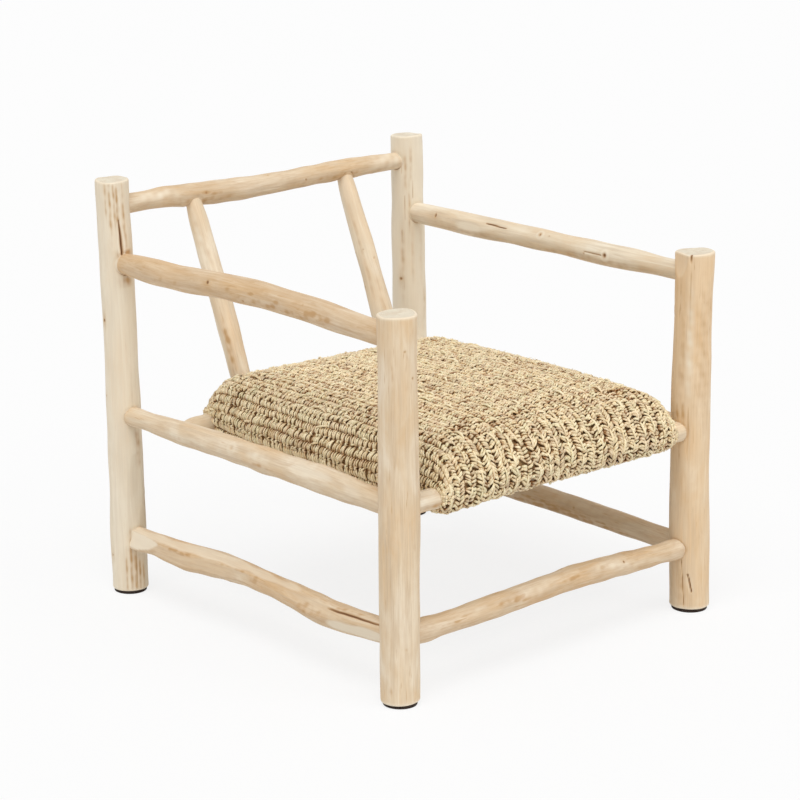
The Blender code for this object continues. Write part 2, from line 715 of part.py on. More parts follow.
def seats_of_branches(branches):
    """Which piece each branch is let into, at its start and at its finish."""
    seats = {
        "left_arm": ("back_left_post", "front_left_post"),
        "right_arm": ("back_right_post", "front_right_post"),
        "left_seat_rail": ("back_left_post", "front_left_post"),
        "right_seat_rail": ("back_right_post", "front_right_post"),
        "left_stretcher": ("back_left_post", "front_left_post"),
        "right_stretcher": ("back_right_post", "front_right_post"),
        "front_seat_rail": ("front_left_post", "front_right_post"),
        "front_stretcher": ("front_left_post", "front_right_post"),
        "crest_rail": ("back_left_post", "back_right_post"),
        "back_seat_rail": ("left_seat_rail", "right_seat_rail"),
        "left_spindle": ("back_seat_rail", "crest_rail"),
        "right_spindle": ("back_seat_rail", "crest_rail"),
    }
    return [(branches[name], hosts) for name, hosts in seats.items()]


def stand_on_floor(root, objects):
    """Moves the whole chair so that its box is centred over the origin, with its glides on the floor."""
    bpy.context.view_layer.update()
    graph = bpy.context.evaluated_depsgraph_get()
    corners = []
    for obj in objects.values():
        shape = obj.evaluated_get(graph)
        corners += [shape.matrix_world @ Vector(corner) for corner in shape.bound_box]
    for axis in (0, 1):
        values = [corner[axis] for corner in corners]
        root.location[axis] -= (min(values) + max(values)) / 2


def main():
    for old in list(bpy.data.objects):
        bpy.data.objects.remove(old, do_unlink=True)
    root = bpy.data.objects.new("armchair", None)
    bpy.context.scene.collection.objects.link(root)

    posts = post_places()
    branches = frame_branches(posts)
    seat_and_back_branches(branches)
    objects, cutters = {}, {}

    for name, post in posts.items():
        objects[name] = add_object(name, post_solid(post), "peeled_wood", root)
        glide = name.replace("_post", "_glide")
        objects[glide] = add_object(glide, glide_solid(post, 0.0), "glide", root)
        cut(objects[name], add_cutter(glide + "_seat", glide_solid(post, FIT), root))
    for name, branch in branches.items():
        objects[name] = add_object(name, branch_solid(branch), "peeled_wood", root)
        cutters[name] = add_cutter(name + "_seat", branch_solid(branch, FIT), root)
    for branch, hosts in seats_of_branches(branches):
        for host in hosts:
            cut(objects[host], cutters[branch.name])
    add_post_pegs(posts, branches, objects, root)
    add_rail_pegs(branches, objects, root)
    add_slats(branches, objects, cutters, root)
    add_cushion(branches, objects, cutters, root)
    stand_on_floor(root, objects)


main()
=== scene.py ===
import math

import bmesh
import bpy
import numpy as np
from bpy.props import FloatProperty, FloatVectorProperty, IntProperty, PointerProperty
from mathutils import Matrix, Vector
from mathutils.bvhtree import BVHTree


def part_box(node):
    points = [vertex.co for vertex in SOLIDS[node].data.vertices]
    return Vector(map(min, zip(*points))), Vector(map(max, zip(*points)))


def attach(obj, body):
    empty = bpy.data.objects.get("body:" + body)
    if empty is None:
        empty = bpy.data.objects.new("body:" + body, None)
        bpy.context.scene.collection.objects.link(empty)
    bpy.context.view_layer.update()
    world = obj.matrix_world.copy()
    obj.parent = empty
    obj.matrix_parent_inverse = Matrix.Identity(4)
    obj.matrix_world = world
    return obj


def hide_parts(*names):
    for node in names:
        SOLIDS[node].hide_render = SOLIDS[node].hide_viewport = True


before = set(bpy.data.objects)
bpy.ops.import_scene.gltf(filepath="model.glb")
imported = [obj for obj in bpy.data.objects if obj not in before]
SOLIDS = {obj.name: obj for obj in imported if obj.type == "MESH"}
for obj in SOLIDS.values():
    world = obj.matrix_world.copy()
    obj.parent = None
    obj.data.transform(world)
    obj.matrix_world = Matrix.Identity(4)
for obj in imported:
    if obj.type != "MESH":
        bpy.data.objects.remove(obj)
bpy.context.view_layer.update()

bl_info = {
    "name": "Branch Armchair",
    "version": (1, 0, 0),
    "blender": (4, 5, 0),
    "location": "3D View > Sidebar > Armchair",
    "description": "Peels the branch frame of a low armchair, crochets its raffia seat "
                   "and sets a white stage",
    "category": "Object",
}

BODY = "root"

POSTS = ("front_left_post", "front_right_post", "back_left_post", "back_right_post")
ARMS = ("left_arm", "right_arm")
CREST = ("crest_rail",)
SPINDLES = ("left_spindle", "right_spindle")
SEAT_RAILS = ("left_seat_rail", "right_seat_rail", "front_seat_rail", "back_seat_rail")
STRETCHERS = ("left_stretcher", "right_stretcher", "front_stretcher")
LIMBS = POSTS + ARMS + CREST + SPINDLES + SEAT_RAILS + STRETCHERS
GLIDES = tuple(name for name in SOLIDS if name.endswith("_glide"))
PEGS = tuple(name for name in SOLIDS if name.endswith("_peg"))
SLATS = tuple(name for name in SOLIDS if name.startswith("seat_slat"))
SCREWS = tuple(name for name in SOLIDS if name.startswith("slat_screw"))

# Which limb ends sit in which limb: 0 is the front, left or lower end of a limb, -1 the other one.
SEATS = {
    "front_left_post": (("left_arm", 0), ("left_seat_rail", 0), ("left_stretcher", 0),
                        ("front_seat_rail", 0), ("front_stretcher", 0)),
    "front_right_post": (("right_arm", 0), ("right_seat_rail", 0), ("right_stretcher", 0),
                         ("front_seat_rail", -1), ("front_stretcher", -1)),
    "back_left_post": (("left_arm", -1), ("left_seat_rail", -1), ("left_stretcher", -1), ("crest_rail", 0)),
    "back_right_post": (("right_arm", -1), ("right_seat_rail", -1), ("right_stretcher", -1),
                        ("crest_rail", -1)),
    "crest_rail": (("left_spindle", -1), ("right_spindle", -1)),
    "left_seat_rail": (("back_seat_rail", 0),),
    "right_seat_rail": (("back_seat_rail", -1),),
}


def linear(red, green, blue):
    """Scene-linear values of a colour given in the usual 0 to 255 steps."""
    shares = [value / 255 for value in (red, green, blue)]
    return tuple(s / 12.92 if s <= 0.04045 else ((s + 0.055) / 1.055) ** 2.4 for s in shares)


# Settings


def length(name, description, default):
    return FloatProperty(name=name, description=description, default=default, min=0.0, precision=4,
                         unit="LENGTH")


def colour(name, description, default):
    return FloatVectorProperty(name=name, description=description, default=default, size=3, min=0.0,
                               max=1.0, subtype="COLOR")


def share(name, description, default):
    return FloatProperty(name=name, description=description, default=default, min=0.0, max=10.0)


class WoodSettings(bpy.types.PropertyGroup):
    """Shape and colour of the peeled branches"""
    cell: length("Cell", "Spacing of the mesh along a limb", 0.0018)
    lump: length("Lumps", "Height of the natural unevenness of a limb", 0.00050)
    edge: length("Sawn edge", "Rounding of a post's sawn edges", 0.0030)
    crease: length("Crease", "Depth of the groove around a limb that sits in another", 0.0011)
    pale: colour("Pale wood", "Lightest streaks of the wood", linear(242, 230, 208))
    straw: colour("Straw wood", "Main colour of the wood", linear(230, 211, 182))
    shade: colour("Grey wood", "Cool, weathered streaks", linear(213, 194, 168))
    warm: colour("Warm wood", "Tan patches", linear(226, 197, 158))
    sunny: colour("Sunny wood", "Warm cast of some limbs", linear(240, 202, 154))
    # Besides the honey stains, this colour paints shade round the joints and along the right stretcher's lower
    # side.
    stain_and_shade: colour("Stain", "Honey stains left by the bark", linear(190, 147, 96))
    # This colour also paints the grime and shade in the creases where one limb sits in another.
    dark: colour("Cracks", "Knots, cracks and creases", linear(84, 42, 18))
    cut: colour("Sawn end", "Sawn ends of the posts", linear(234, 223, 201))


class CushionSettings(bpy.types.PropertyGroup):
    """Form of the stuffed seat"""
    rise: length("Rise", "Height of the seat's edge above the rails", 0.080)
    crown: length("Crown", "Extra height in the middle of the seat", 0.013)
    lean: length("Lean", "How much fuller the left side is than the right", 0.010)
    bulge: length("Side bulge", "How far the sides swell between the rails", 0.018)
    end_roll: length("End roll", "Length of the roll over the front and back rails", 0.055)
    side_roll: length("Side roll", "Length of the roll at the sides", 0.050)
    fullness: share("Fullness", "Squareness of the rolls", 2.3)
    droop: length("Droop", "How far the cover hangs below the front rail at its left end", 0.008)
    cover: length("Cover depth", "How far the crochet stands off the stuffing", 0.0062)
    start: length("Slack", "How much smaller the stuffing starts before it is filled", 0.001)
    cloth_cell: length("Cloth cell", "Cell size of the stuffing's cloth", 0.008)
    pressure: share("Fill pressure", "Pressure of the filling on the cloth", 2.0)
    frames: IntProperty(name="Fill frames", description="Frames the filling takes", default=16, min=2)
    swell: length("Swell limit", "Furthest the cloth may move while it is filled", 0.003)
    # The lining's tan is the cloth's colour and also painted shade for the gaps between the stitches.
    lining: colour("Lining", "Cloth that shows through the crochet", linear(202, 162, 112))


class RaffiaSettings(bpy.types.PropertyGroup):
    """Stitches and colours of the crochet cover"""
    row: length("Row width", "Width of one crochet row", 0.0128)
    pitch: length("Stitch pitch", "Length of one stitch along its row", 0.0100)
    strand: length("Strand width", "Width of a strand", 0.0038)
    depth: length("Strand depth", "Thickness of a strand", 0.0038)
    loose: share("Looseness", "Unevenness of the stitches", 1.0)
    fibres: IntProperty(name="Stray fibres", description="Thin fibres that stick out", default=900, min=0)
    seed: IntProperty(name="Seed", description="Start of the random draws", default=11, min=0)
    # Also the colour of the painted highlight on the strands' tops.
    pale: colour("Pale straw", "Lightest strands", linear(253, 240, 204))
    straw: colour("Straw", "Most of the strands", linear(231, 203, 154))
    brown: colour("Brown straw", "Darkest strands", linear(160, 116, 66))
    green: colour("Green straw", "Greenish strands", linear(226, 216, 172))
    pink: colour("Pink straw", "Reddish strands", linear(236, 206, 170))
    # Colour of the painted shade on strands where they dip low towards the lining.
    dip_shade: colour("Deep straw", "Strands where they dip under others", linear(160, 104, 56))


class StageSettings(bpy.types.PropertyGroup):
    """Camera, lamps and floor"""
    azimuth: FloatProperty(name="Azimuth", description="Camera angle around the chair",
                           default=math.radians(-41.835), subtype="ANGLE")
    elevation: FloatProperty(name="Elevation", description="Camera angle above the floor",
                             default=math.radians(15.412), subtype="ANGLE")
    distance: length("Distance", "Distance from the camera to the point it looks at", 4.45)
    aim: FloatVectorProperty(name="Aim", description="Point the camera looks at",
                             default=(-0.0105, 0.0028, 0.3491), size=3, subtype="TRANSLATION")
    lens: FloatProperty(name="Lens", description="Focal length in millimetres", default=120.73, min=1.0)
    key: share("Key lamp", "Strength of the key lamp", 1.6)
    fill: share("Fill lamp", "Strength of the fill lamp", 0.60)
    spread: FloatProperty(name="Lamp spread", description="Angle that a lamp fills, for soft shadows",
                          default=math.radians(40), subtype="ANGLE")
    sky: share("Surround", "Strength of the white surround", 0.50)
    floor: colour("Floor", "Colour of the floor", (0.85, 0.85, 0.85))


# Meshes


def build_mesh(name, points, polygons, smooth=True):
    """A mesh from an array of points and a list of index arrays, each with one polygon a row."""
    mesh = bpy.data.meshes.new(name)
    mesh.vertices.add(len(points))
    mesh.vertices.foreach_set("co", np.ascontiguousarray(points, dtype=np.float32).ravel())
    corners = np.concatenate([block.ravel() for block in polygons]).astype(np.int32)
    sizes = np.concatenate([np.full(len(block), block.shape[1]) for block in polygons])
    mesh.loops.add(len(corners))
    mesh.loops.foreach_set("vertex_index", corners)
    mesh.polygons.add(len(sizes))
    mesh.polygons.foreach_set("loop_start", np.r_[0, np.cumsum(sizes)[:-1]].astype(np.int32))
    mesh.update(calc_edges=True)
    if smooth:
        mesh.shade_smooth()
    return mesh


# Corners of a four-sided face, as steps in two directions.
QUAD = ((0, 0), (1, 0), (1, 1), (0, 1))


def ring_quads(index):
    """Faces between rings of points that close on themselves."""
    after = np.roll(index, -1, axis=1)
    return np.stack((index[:-1], after[:-1], after[1:], index[1:]), axis=2).reshape(-1, 4)


def ring_fan(ring, middle, turned=False):
    """Faces from a closed ring of points to one point."""
    after = np.roll(ring, -1)
    first, second = (after, ring) if turned else (ring, after)
    return np.stack((first, second, np.full(len(ring), middle)), axis=1)


def spokes(turns, first, second):
    """Directions at some turns in the plane of two directions."""
    return np.outer(np.cos(turns), first) + np.outer(np.sin(turns), second)


def full_turn(count):
    return np.arange(count) * 2 * math.pi / count


def add_values(mesh, name, values):
    """Store one number, or one vector, at each point of a mesh."""
    kind, field = ("FLOAT", "value") if values.ndim == 1 else ("FLOAT_VECTOR", "vector")
    attribute = mesh.attributes.new(name, kind, "POINT")
    attribute.data.foreach_set(field, np.ascontiguousarray(values, dtype=np.float32).ravel())


def add_layout(mesh, places):
    """Store where each corner of a mesh lies on its colour map."""
    layer = mesh.uv_layers.new(name="OFBake")
    layer.data.foreach_set("uv", np.ascontiguousarray(places, dtype=np.float32).ravel())


def add_piece(name, mesh, material, replaced=()):
    """Put a mesh in the scene as a piece that rides the chair."""
    piece = bpy.data.objects.new(name, mesh)
    bpy.context.scene.collection.objects.link(piece)
    mesh.materials.append(material)
    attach(piece, BODY)
    if replaced:
        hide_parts(*replaced)
    return piece


def unit(vectors):
    return vectors / np.maximum(np.linalg.norm(vectors, axis=-1, keepdims=True), 1e-12)


# Shaders


class Shader:
    """A material with one surface shader, and short ways to add and join its nodes."""

    def __init__(self, name):
        self.material = bpy.data.materials.new(name)
        self.material.use_nodes = True
        self.tree = self.material.node_tree
        self.surface = self.tree.nodes["Principled BSDF"]

    def node(self, kind, inputs, output=0, **fields):
        made = self.tree.nodes.new(kind)
        for field, value in fields.items():
            setattr(made, field, value)
        for socket, value in inputs.items():
            self.put(made.inputs[socket], value)
        return made.outputs[output]

    def put(self, socket, value):
        if isinstance(value, bpy.types.NodeSocket):
            self.tree.links.new(value, socket)
        elif hasattr(value, "__len__") and len(value) == 3 and socket.type == "RGBA":
            socket.default_value = (*value, 1.0)
        else:
            socket.default_value = value

    def value(self, name):
        return self.node("ShaderNodeAttribute", {}, "Fac", attribute_name=name)

    def vector(self, name):
        return self.node("ShaderNodeAttribute", {}, "Vector", attribute_name=name)

    def place(self):
        return self.node("ShaderNodeTexCoord", {}, "Object")

    def stretch(self, vector, scale):
        return self.node("ShaderNodeMapping", {"Vector": vector, "Scale": scale})

    def noise(self, vector, scale, detail=3.0, roughness=0.5, distortion=0.0):
        return self.node("ShaderNodeTexNoise", {"Vector": vector, "Scale": scale, "Detail": detail,
                                                "Roughness": roughness, "Distortion": distortion})

    def drawn_out(self, vector, part, *noise):
        """Noise drawn out along the third direction."""
        return self.noise(self.stretch(vector, (1.0, 1.0, part)), *noise)

    def ramp(self, factor, *stops):
        made = self.tree.nodes.new("ShaderNodeValToRGB")
        elements = made.color_ramp.elements
        while len(elements) < len(stops):
            elements.new(0.5)
        for element, (place, tone) in zip(elements, stops):
            element.position = place
            element.color = (*tone, 1.0) if hasattr(tone, "__len__") else (tone, tone, tone, 1.0)
        self.put(made.inputs["Fac"], factor)
        return made.outputs["Color"]

    def mix(self, factor, first, second, blend="MIX"):
        return self.node("ShaderNodeMix", {0: factor, 6: first, 7: second}, 2, data_type="RGBA",
                         blend_type=blend)

    def math(self, operation, first, second):
        return self.node("ShaderNodeMath", {0: first, 1: second}, operation=operation)

    def bump(self, height, strength, distance):
        self.put(self.surface.inputs["Normal"],
                 self.node("ShaderNodeBump", {"Height": height, "Strength": strength, "Distance": distance}))

    def finish(self, base, roughness, specular):
        self.put(self.surface.inputs["Base Color"], base)
        self.put(self.surface.inputs["Roughness"], roughness)
        self.put(self.surface.inputs["Specular IOR Level"], specular)
        return self.material


def once(name, make, *settings):
    """The material of that name, made on first use."""
    return bpy.data.materials.get(name) or make(name, *settings)


def darker(tone, part):
    return [part * value for value in tone]


def peeled_wood(name, wood):
    """Pale peeled wood: soft streaks along the limb, honey stains, knots, cracks and sawn ends, with painted
    shade in the joints, painted highlights on the sawn rims, and painted light and shade on the right
    stretcher.
    """
    shader = Shader(name)
    grain = shader.vector("grain")
    fibre = shader.drawn_out(grain, 0.03, 480.0, 4.0, 0.6)
    streak = shader.drawn_out(grain, 0.05, 115.0, 4.0, 0.6, 0.4)
    patch = shader.drawn_out(grain, 0.40, 19.0, 4.0, 0.55, 0.6)
    blotch = shader.drawn_out(grain, 0.30, 60.0, 3.0, 0.6, 0.8)
    fleck = shader.drawn_out(grain, 0.08, 290.0, 2.0, 0.5)
    tone = shader.ramp(patch, (0.34, wood.pale), (0.50, wood.straw), (0.68, wood.warm))
    tone = shader.mix(shader.ramp(streak, (0.34, 0.7), (0.52, 0.0)), tone, wood.shade)
    tone = shader.mix(shader.ramp(streak, (0.56, 0.0), (0.72, 0.7)), tone, wood.pale)
    tone = shader.mix(0.4, tone, shader.ramp(fibre, (0.30, (0.78, 0.70, 0.60)), (0.55, 1.0)), "MULTIPLY")
    tone = shader.mix(shader.value("warm"), tone, wood.sunny)
    # This value holds the honey stains and also painted shade round the joints and under the right stretcher.
    stain_and_shade = shader.value("stain_and_shade")
    mottled = shader.math("MULTIPLY", stain_and_shade, shader.ramp(blotch, (0.34, 0.25), (0.64, 1.30)))
    soft = shader.math("MULTIPLY", mottled, shader.ramp(fibre, (0.30, 0.9), (0.70, 0.5)))
    ragged = shader.drawn_out(grain, 0.07, 210.0, 5.0, 0.65, 0.3)
    worn = shader.math("MULTIPLY", shader.math("ADD", stain_and_shade, ragged), 0.5)
    crisp = shader.ramp(worn, (0.34, 0.0), (0.52, 0.30), (0.74, 0.85))
    tone = shader.mix(shader.math("MAXIMUM", soft, crisp), tone, wood.stain_and_shade)
    tone = shader.mix(shader.ramp(fleck, (0.66, 0.0), (0.76, 0.5)), tone, wood.stain_and_shade)
    # This value holds pale fresh wood and also the painted highlights on the sawn rims and on the right
    # stretcher's upper side.
    tone = shader.mix(shader.value("bare_and_highlight"), tone, wood.pale)
    rings = shader.node("ShaderNodeVectorMath", {0: shader.stretch(grain, (1.0, 1.0, 0.0))}, "Value",
                        operation="LENGTH")
    rings = shader.math("SINE", shader.math("MULTIPLY_ADD", rings, 2300.0), 0.0)
    end = shader.ramp(rings, (0.0, wood.cut), (0.9, darker(wood.cut, 0.80)))
    end = shader.mix(shader.ramp(blotch, (0.44, 0.0), (0.62, 0.6)), end, wood.shade)
    tone = shader.mix(shader.value("sawn"), tone, end)
    dark = shader.value("dark")
    # The dark value holds knots and cracks, and also the grime and painted shade in the joint creases.
    tone = shader.mix(shader.ramp(dark, (0.05, 0.0), (0.55, 0.9)), tone, wood.stain_and_shade)
    tone = shader.mix(shader.ramp(dark, (0.30, 0.0), (0.85, 1.0)), tone, wood.dark)
    shader.bump(shader.math("ADD", fibre, shader.math("MULTIPLY", streak, 0.8)), 0.35, 0.0007)
    return shader.finish(tone, shader.ramp(streak, (0.3, 0.66), (0.7, 0.52)), 0.32)


def crochet_straw(name, raffia):
    """Dry raffia: every strand has its own straw tone, with fine fibres along it and a faint sheen, a painted
    highlight on its top and painted shade where it dips low.
    """
    shader = Shader(name)
    lay = shader.vector("lay")
    fibre = shader.noise(shader.stretch(lay, (1.0, 0.07, 1.0)), 1500.0, 3.0, 0.6)
    spell = shader.noise(lay, 70.0, 2.0, 0.5)
    tone = shader.ramp(shader.value("tint"), (0.0, raffia.brown), (0.42, raffia.straw), (1.0, raffia.pale))
    hue = shader.value("hue")
    tone = shader.mix(shader.ramp(hue, (0.10, 0.75), (0.24, 0.0)), tone, raffia.green)
    tone = shader.mix(shader.ramp(hue, (0.80, 0.0), (0.93, 0.75)), tone, raffia.pink)
    tone = shader.mix(0.5, tone, shader.ramp(fibre, (0.30, (0.62, 0.52, 0.38)), (0.56, 1.0)), "MULTIPLY")
    tone = shader.mix(0.3, tone, shader.ramp(spell, (0.34, (0.74, 0.62, 0.46)), (0.60, 1.0)), "MULTIPLY")
    dip_shade = shader.value("dip_shade")
    # Painted highlight: the tops of strands that stand highest turn paler.
    tone = shader.mix(shader.ramp(dip_shade, (0.0, 0.45), (0.10, 0.0)), tone, raffia.pale)
    # Painted shade: strands turn darker where they dip low towards the lining.
    tone = shader.mix(shader.ramp(dip_shade, (0.10, 0.0), (0.45, 0.55), (0.85, 1.0)), tone, raffia.dip_shade)
    shader.bump(fibre, 0.5, 0.0006)
    return shader.finish(tone, 0.36, 0.5)


def lining_cloth_and_shade(name, cushion):
    """Coarse tan cloth under the crochet, darker than the straw so that it also paints the shade in the gaps
    between the stitches.
    """
    shader = Shader(name)
    place = shader.place()
    weave = shader.noise(place, 900.0, 2.0, 0.6)
    patch = shader.noise(place, 40.0, 3.0, 0.5)
    tone = shader.ramp(weave, (0.3, darker(cushion.lining, 0.55)), (0.7, cushion.lining))
    tone = shader.mix(0.5, tone, shader.ramp(patch, (0.3, 0.6), (0.7, 1.0)), "MULTIPLY")
    shader.bump(weave, 0.5, 0.0008)
    return shader.finish(tone, 0.9, 0.15)


def split_wood(name, wood):
    """Whittled or sawn stock a little darker than the branches."""
    shader = Shader(name)
    place = shader.place()
    fibre = shader.noise(shader.stretch(place, (1.0, 0.12, 1.0)), 320.0, 4.0, 0.6)
    tone = shader.ramp(fibre, (0.28, wood.stain_and_shade), (0.55, wood.warm), (0.8, wood.straw))
    shader.bump(fibre, 0.3, 0.0005)
    return shader.finish(tone, 0.6, 0.3)


def glide_felt(name):
    """Dark pressed pad."""
    shader = Shader(name)
    place = shader.place()
    speck = shader.noise(place, 1600.0, 2.0, 0.6)
    tone = shader.ramp(speck, (0.3, linear(34, 26, 22)), (0.7, linear(66, 52, 44)))
    shader.bump(speck, 0.3, 0.0003)
    return shader.finish(tone, 0.82, 0.25)


def zinc_steel(name):
    """Zinc-plated screw steel."""
    shader = Shader(name)
    place = shader.place()
    brush = shader.drawn_out(place, 0.2, 900.0, 2.0, 0.5)
    tone = shader.ramp(brush, (0.3, linear(180, 182, 182)), (0.7, linear(214, 214, 210)))
    shader.surface.inputs["Metallic"].default_value = 1.0
    return shader.finish(tone, 0.35, 0.5)


# Limbs

TRACE_STEP = 0.004
TRACE_SPOKES = 24
TRACE_REACH = 0.085
TRACE_MARGIN = 0.008
TENON_SHARE = 0.6
FLAT_SIDES = 1.012
TRACE_SMOOTH = 3.0
TRACE_ROUNDS = 4
POST_SIDES = 112
BRANCH_SIDES = 64
LIMB_SEED = 100
GRAIN_APART = 3.7
# Rings on a sawn end, as shares of its radius, and where the two ends lie on the colour map.
END_RINGS = (0.97, 0.88, 0.74, 0.56, 0.36, 0.15)
TOP_DISC, SOLE_DISC, DISC_RADIUS = (0.9, 0.88), (0.9, 0.12), 0.09


def across(axis):
    """Two directions square to an axis: X and Y for an upright limb, up and sideways for a level one."""
    upright = abs(axis[2]) > 0.7
    guide = np.array((1.0, 0.0, 0.0)) if upright else np.array((0.0, 0.0, 1.0))
    first = unit(guide - axis * (guide @ axis))
    return first, np.cross(axis, first)


def section(tree, centre, first, second):
    """Centre and radius of a round solid where a plane cuts it."""
    turns = full_turn(TRACE_SPOKES)
    ways = spokes(turns, first, second)
    for _ in range(TRACE_ROUNDS):
        reaches = []
        for spoke in ways:
            hit = tree.ray_cast(Vector(centre + spoke * TRACE_REACH), Vector(-spoke), TRACE_REACH * 2)
            reaches.append(TRACE_REACH - hit[3] if hit[0] else 0.0)
        reaches = np.array(reaches)
        good = reaches > 0.8 * np.median(reaches)
        for _ in range(3):
            terms = np.stack((np.ones(good.sum()), np.cos(turns[good]), np.sin(turns[good])), axis=1)
            fit = np.linalg.lstsq(terms, reaches[good], rcond=None)[0]
            miss = reaches - fit[0] - fit[1] * np.cos(turns) - fit[2] * np.sin(turns)
            good = np.abs(miss) < max(0.0012, np.median(np.abs(miss)))
        centre = centre + first * fit[1] + second * fit[2]
    return centre, fit[0] * FLAT_SIDES


def soften(values, width):
    """Values along a limb, smoothed with its ends kept."""
    steps = np.arange(-int(3 * width), int(3 * width) + 1)
    weights = np.exp(-0.5 * (steps / width) ** 2)
    weights /= weights.sum()
    reach = len(steps) // 2
    columns = values.reshape(len(values), -1)
    before = 2 * columns[0] - columns[1:reach + 1][::-1]
    after = 2 * columns[-1] - columns[-reach - 1:-1][::-1]
    padded = np.vstack((before, columns, after))
    smooth = [np.convolve(column, weights, "valid") for column in padded.T]
    return np.array(smooth).T.reshape(values.shape)


class Limb:
    """Centre line and thickness of a branch, measured on its solid."""

    def __init__(self, name):
        mesh = SOLIDS[name].data
        points = np.array([vertex.co for vertex in mesh.vertices])
        tree = BVHTree.FromPolygons([vertex.co for vertex in mesh.vertices],
                                    [polygon.vertices for polygon in mesh.polygons])
        axis = np.linalg.svd(points - points.mean(0), full_matrices=False)[2][0]
        axis = axis * np.sign(axis[np.abs(axis).argmax()])
        first, second = across(axis)
        reach = points @ axis
        stations = np.arange(reach.min() + TRACE_MARGIN, reach.max() - TRACE_MARGIN, TRACE_STEP)
        centres, radii = [], []
        for station in stations:
            near = points[np.abs(reach - station) < 0.03]
            guess = (near.min(0) + near.max(0)) / 2 if len(near) else centres[-1]
            centre, radius = section(tree, guess + axis * (station - guess @ axis), first, second)
            centres.append(centre)
            radii.append(radius)
        centres, radii = np.array(centres), np.array(radii)
        shown = np.flatnonzero(radii > TENON_SHARE * np.median(radii))
        keep = slice(shown[0], shown[-1] + 1)
        centres, radii = soften(centres[keep], TRACE_SMOOTH), soften(radii[keep], TRACE_SMOOTH)
        if shown[0] == 0:
            centres = np.vstack((centres[0] + axis * (reach.min() - centres[0] @ axis), centres))
            radii = np.r_[radii[0], radii]
        if shown[-1] == len(stations) - 1:
            centres = np.vstack((centres, centres[-1] + axis * (reach.max() - centres[-1] @ axis)))
            radii = np.r_[radii, radii[-1]]
        self.name, self.centres, self.thickness = name, centres, radii
        self.places = np.r_[0.0, np.cumsum(np.linalg.norm(np.diff(centres, axis=0), axis=1))]
        self.length = self.places[-1]

    def at(self, along):
        """Points, radii and cross directions at distances along the limb."""
        points = np.stack([np.interp(along, self.places, column) for column in self.centres.T], axis=1)
        radii = np.interp(along, self.places, self.thickness)
        tangents = unit(np.gradient(points, along, axis=0))
        pairs = [across(tangent) for tangent in tangents]
        return points, radii, np.array([p[0] for p in pairs]), np.array([p[1] for p in pairs])

    def end(self, which):
        """Point at an end, the way the limb leaves it, and its radius there."""
        inner = 8 if which == 0 else -9
        out = unit(self.centres[inner] - self.centres[which])
        return self.centres[which], out, self.thickness[inner]


limb_store = {}


def limb(name):
    if name not in limb_store:
        limb_store[name] = Limb(name)
    return limb_store[name]


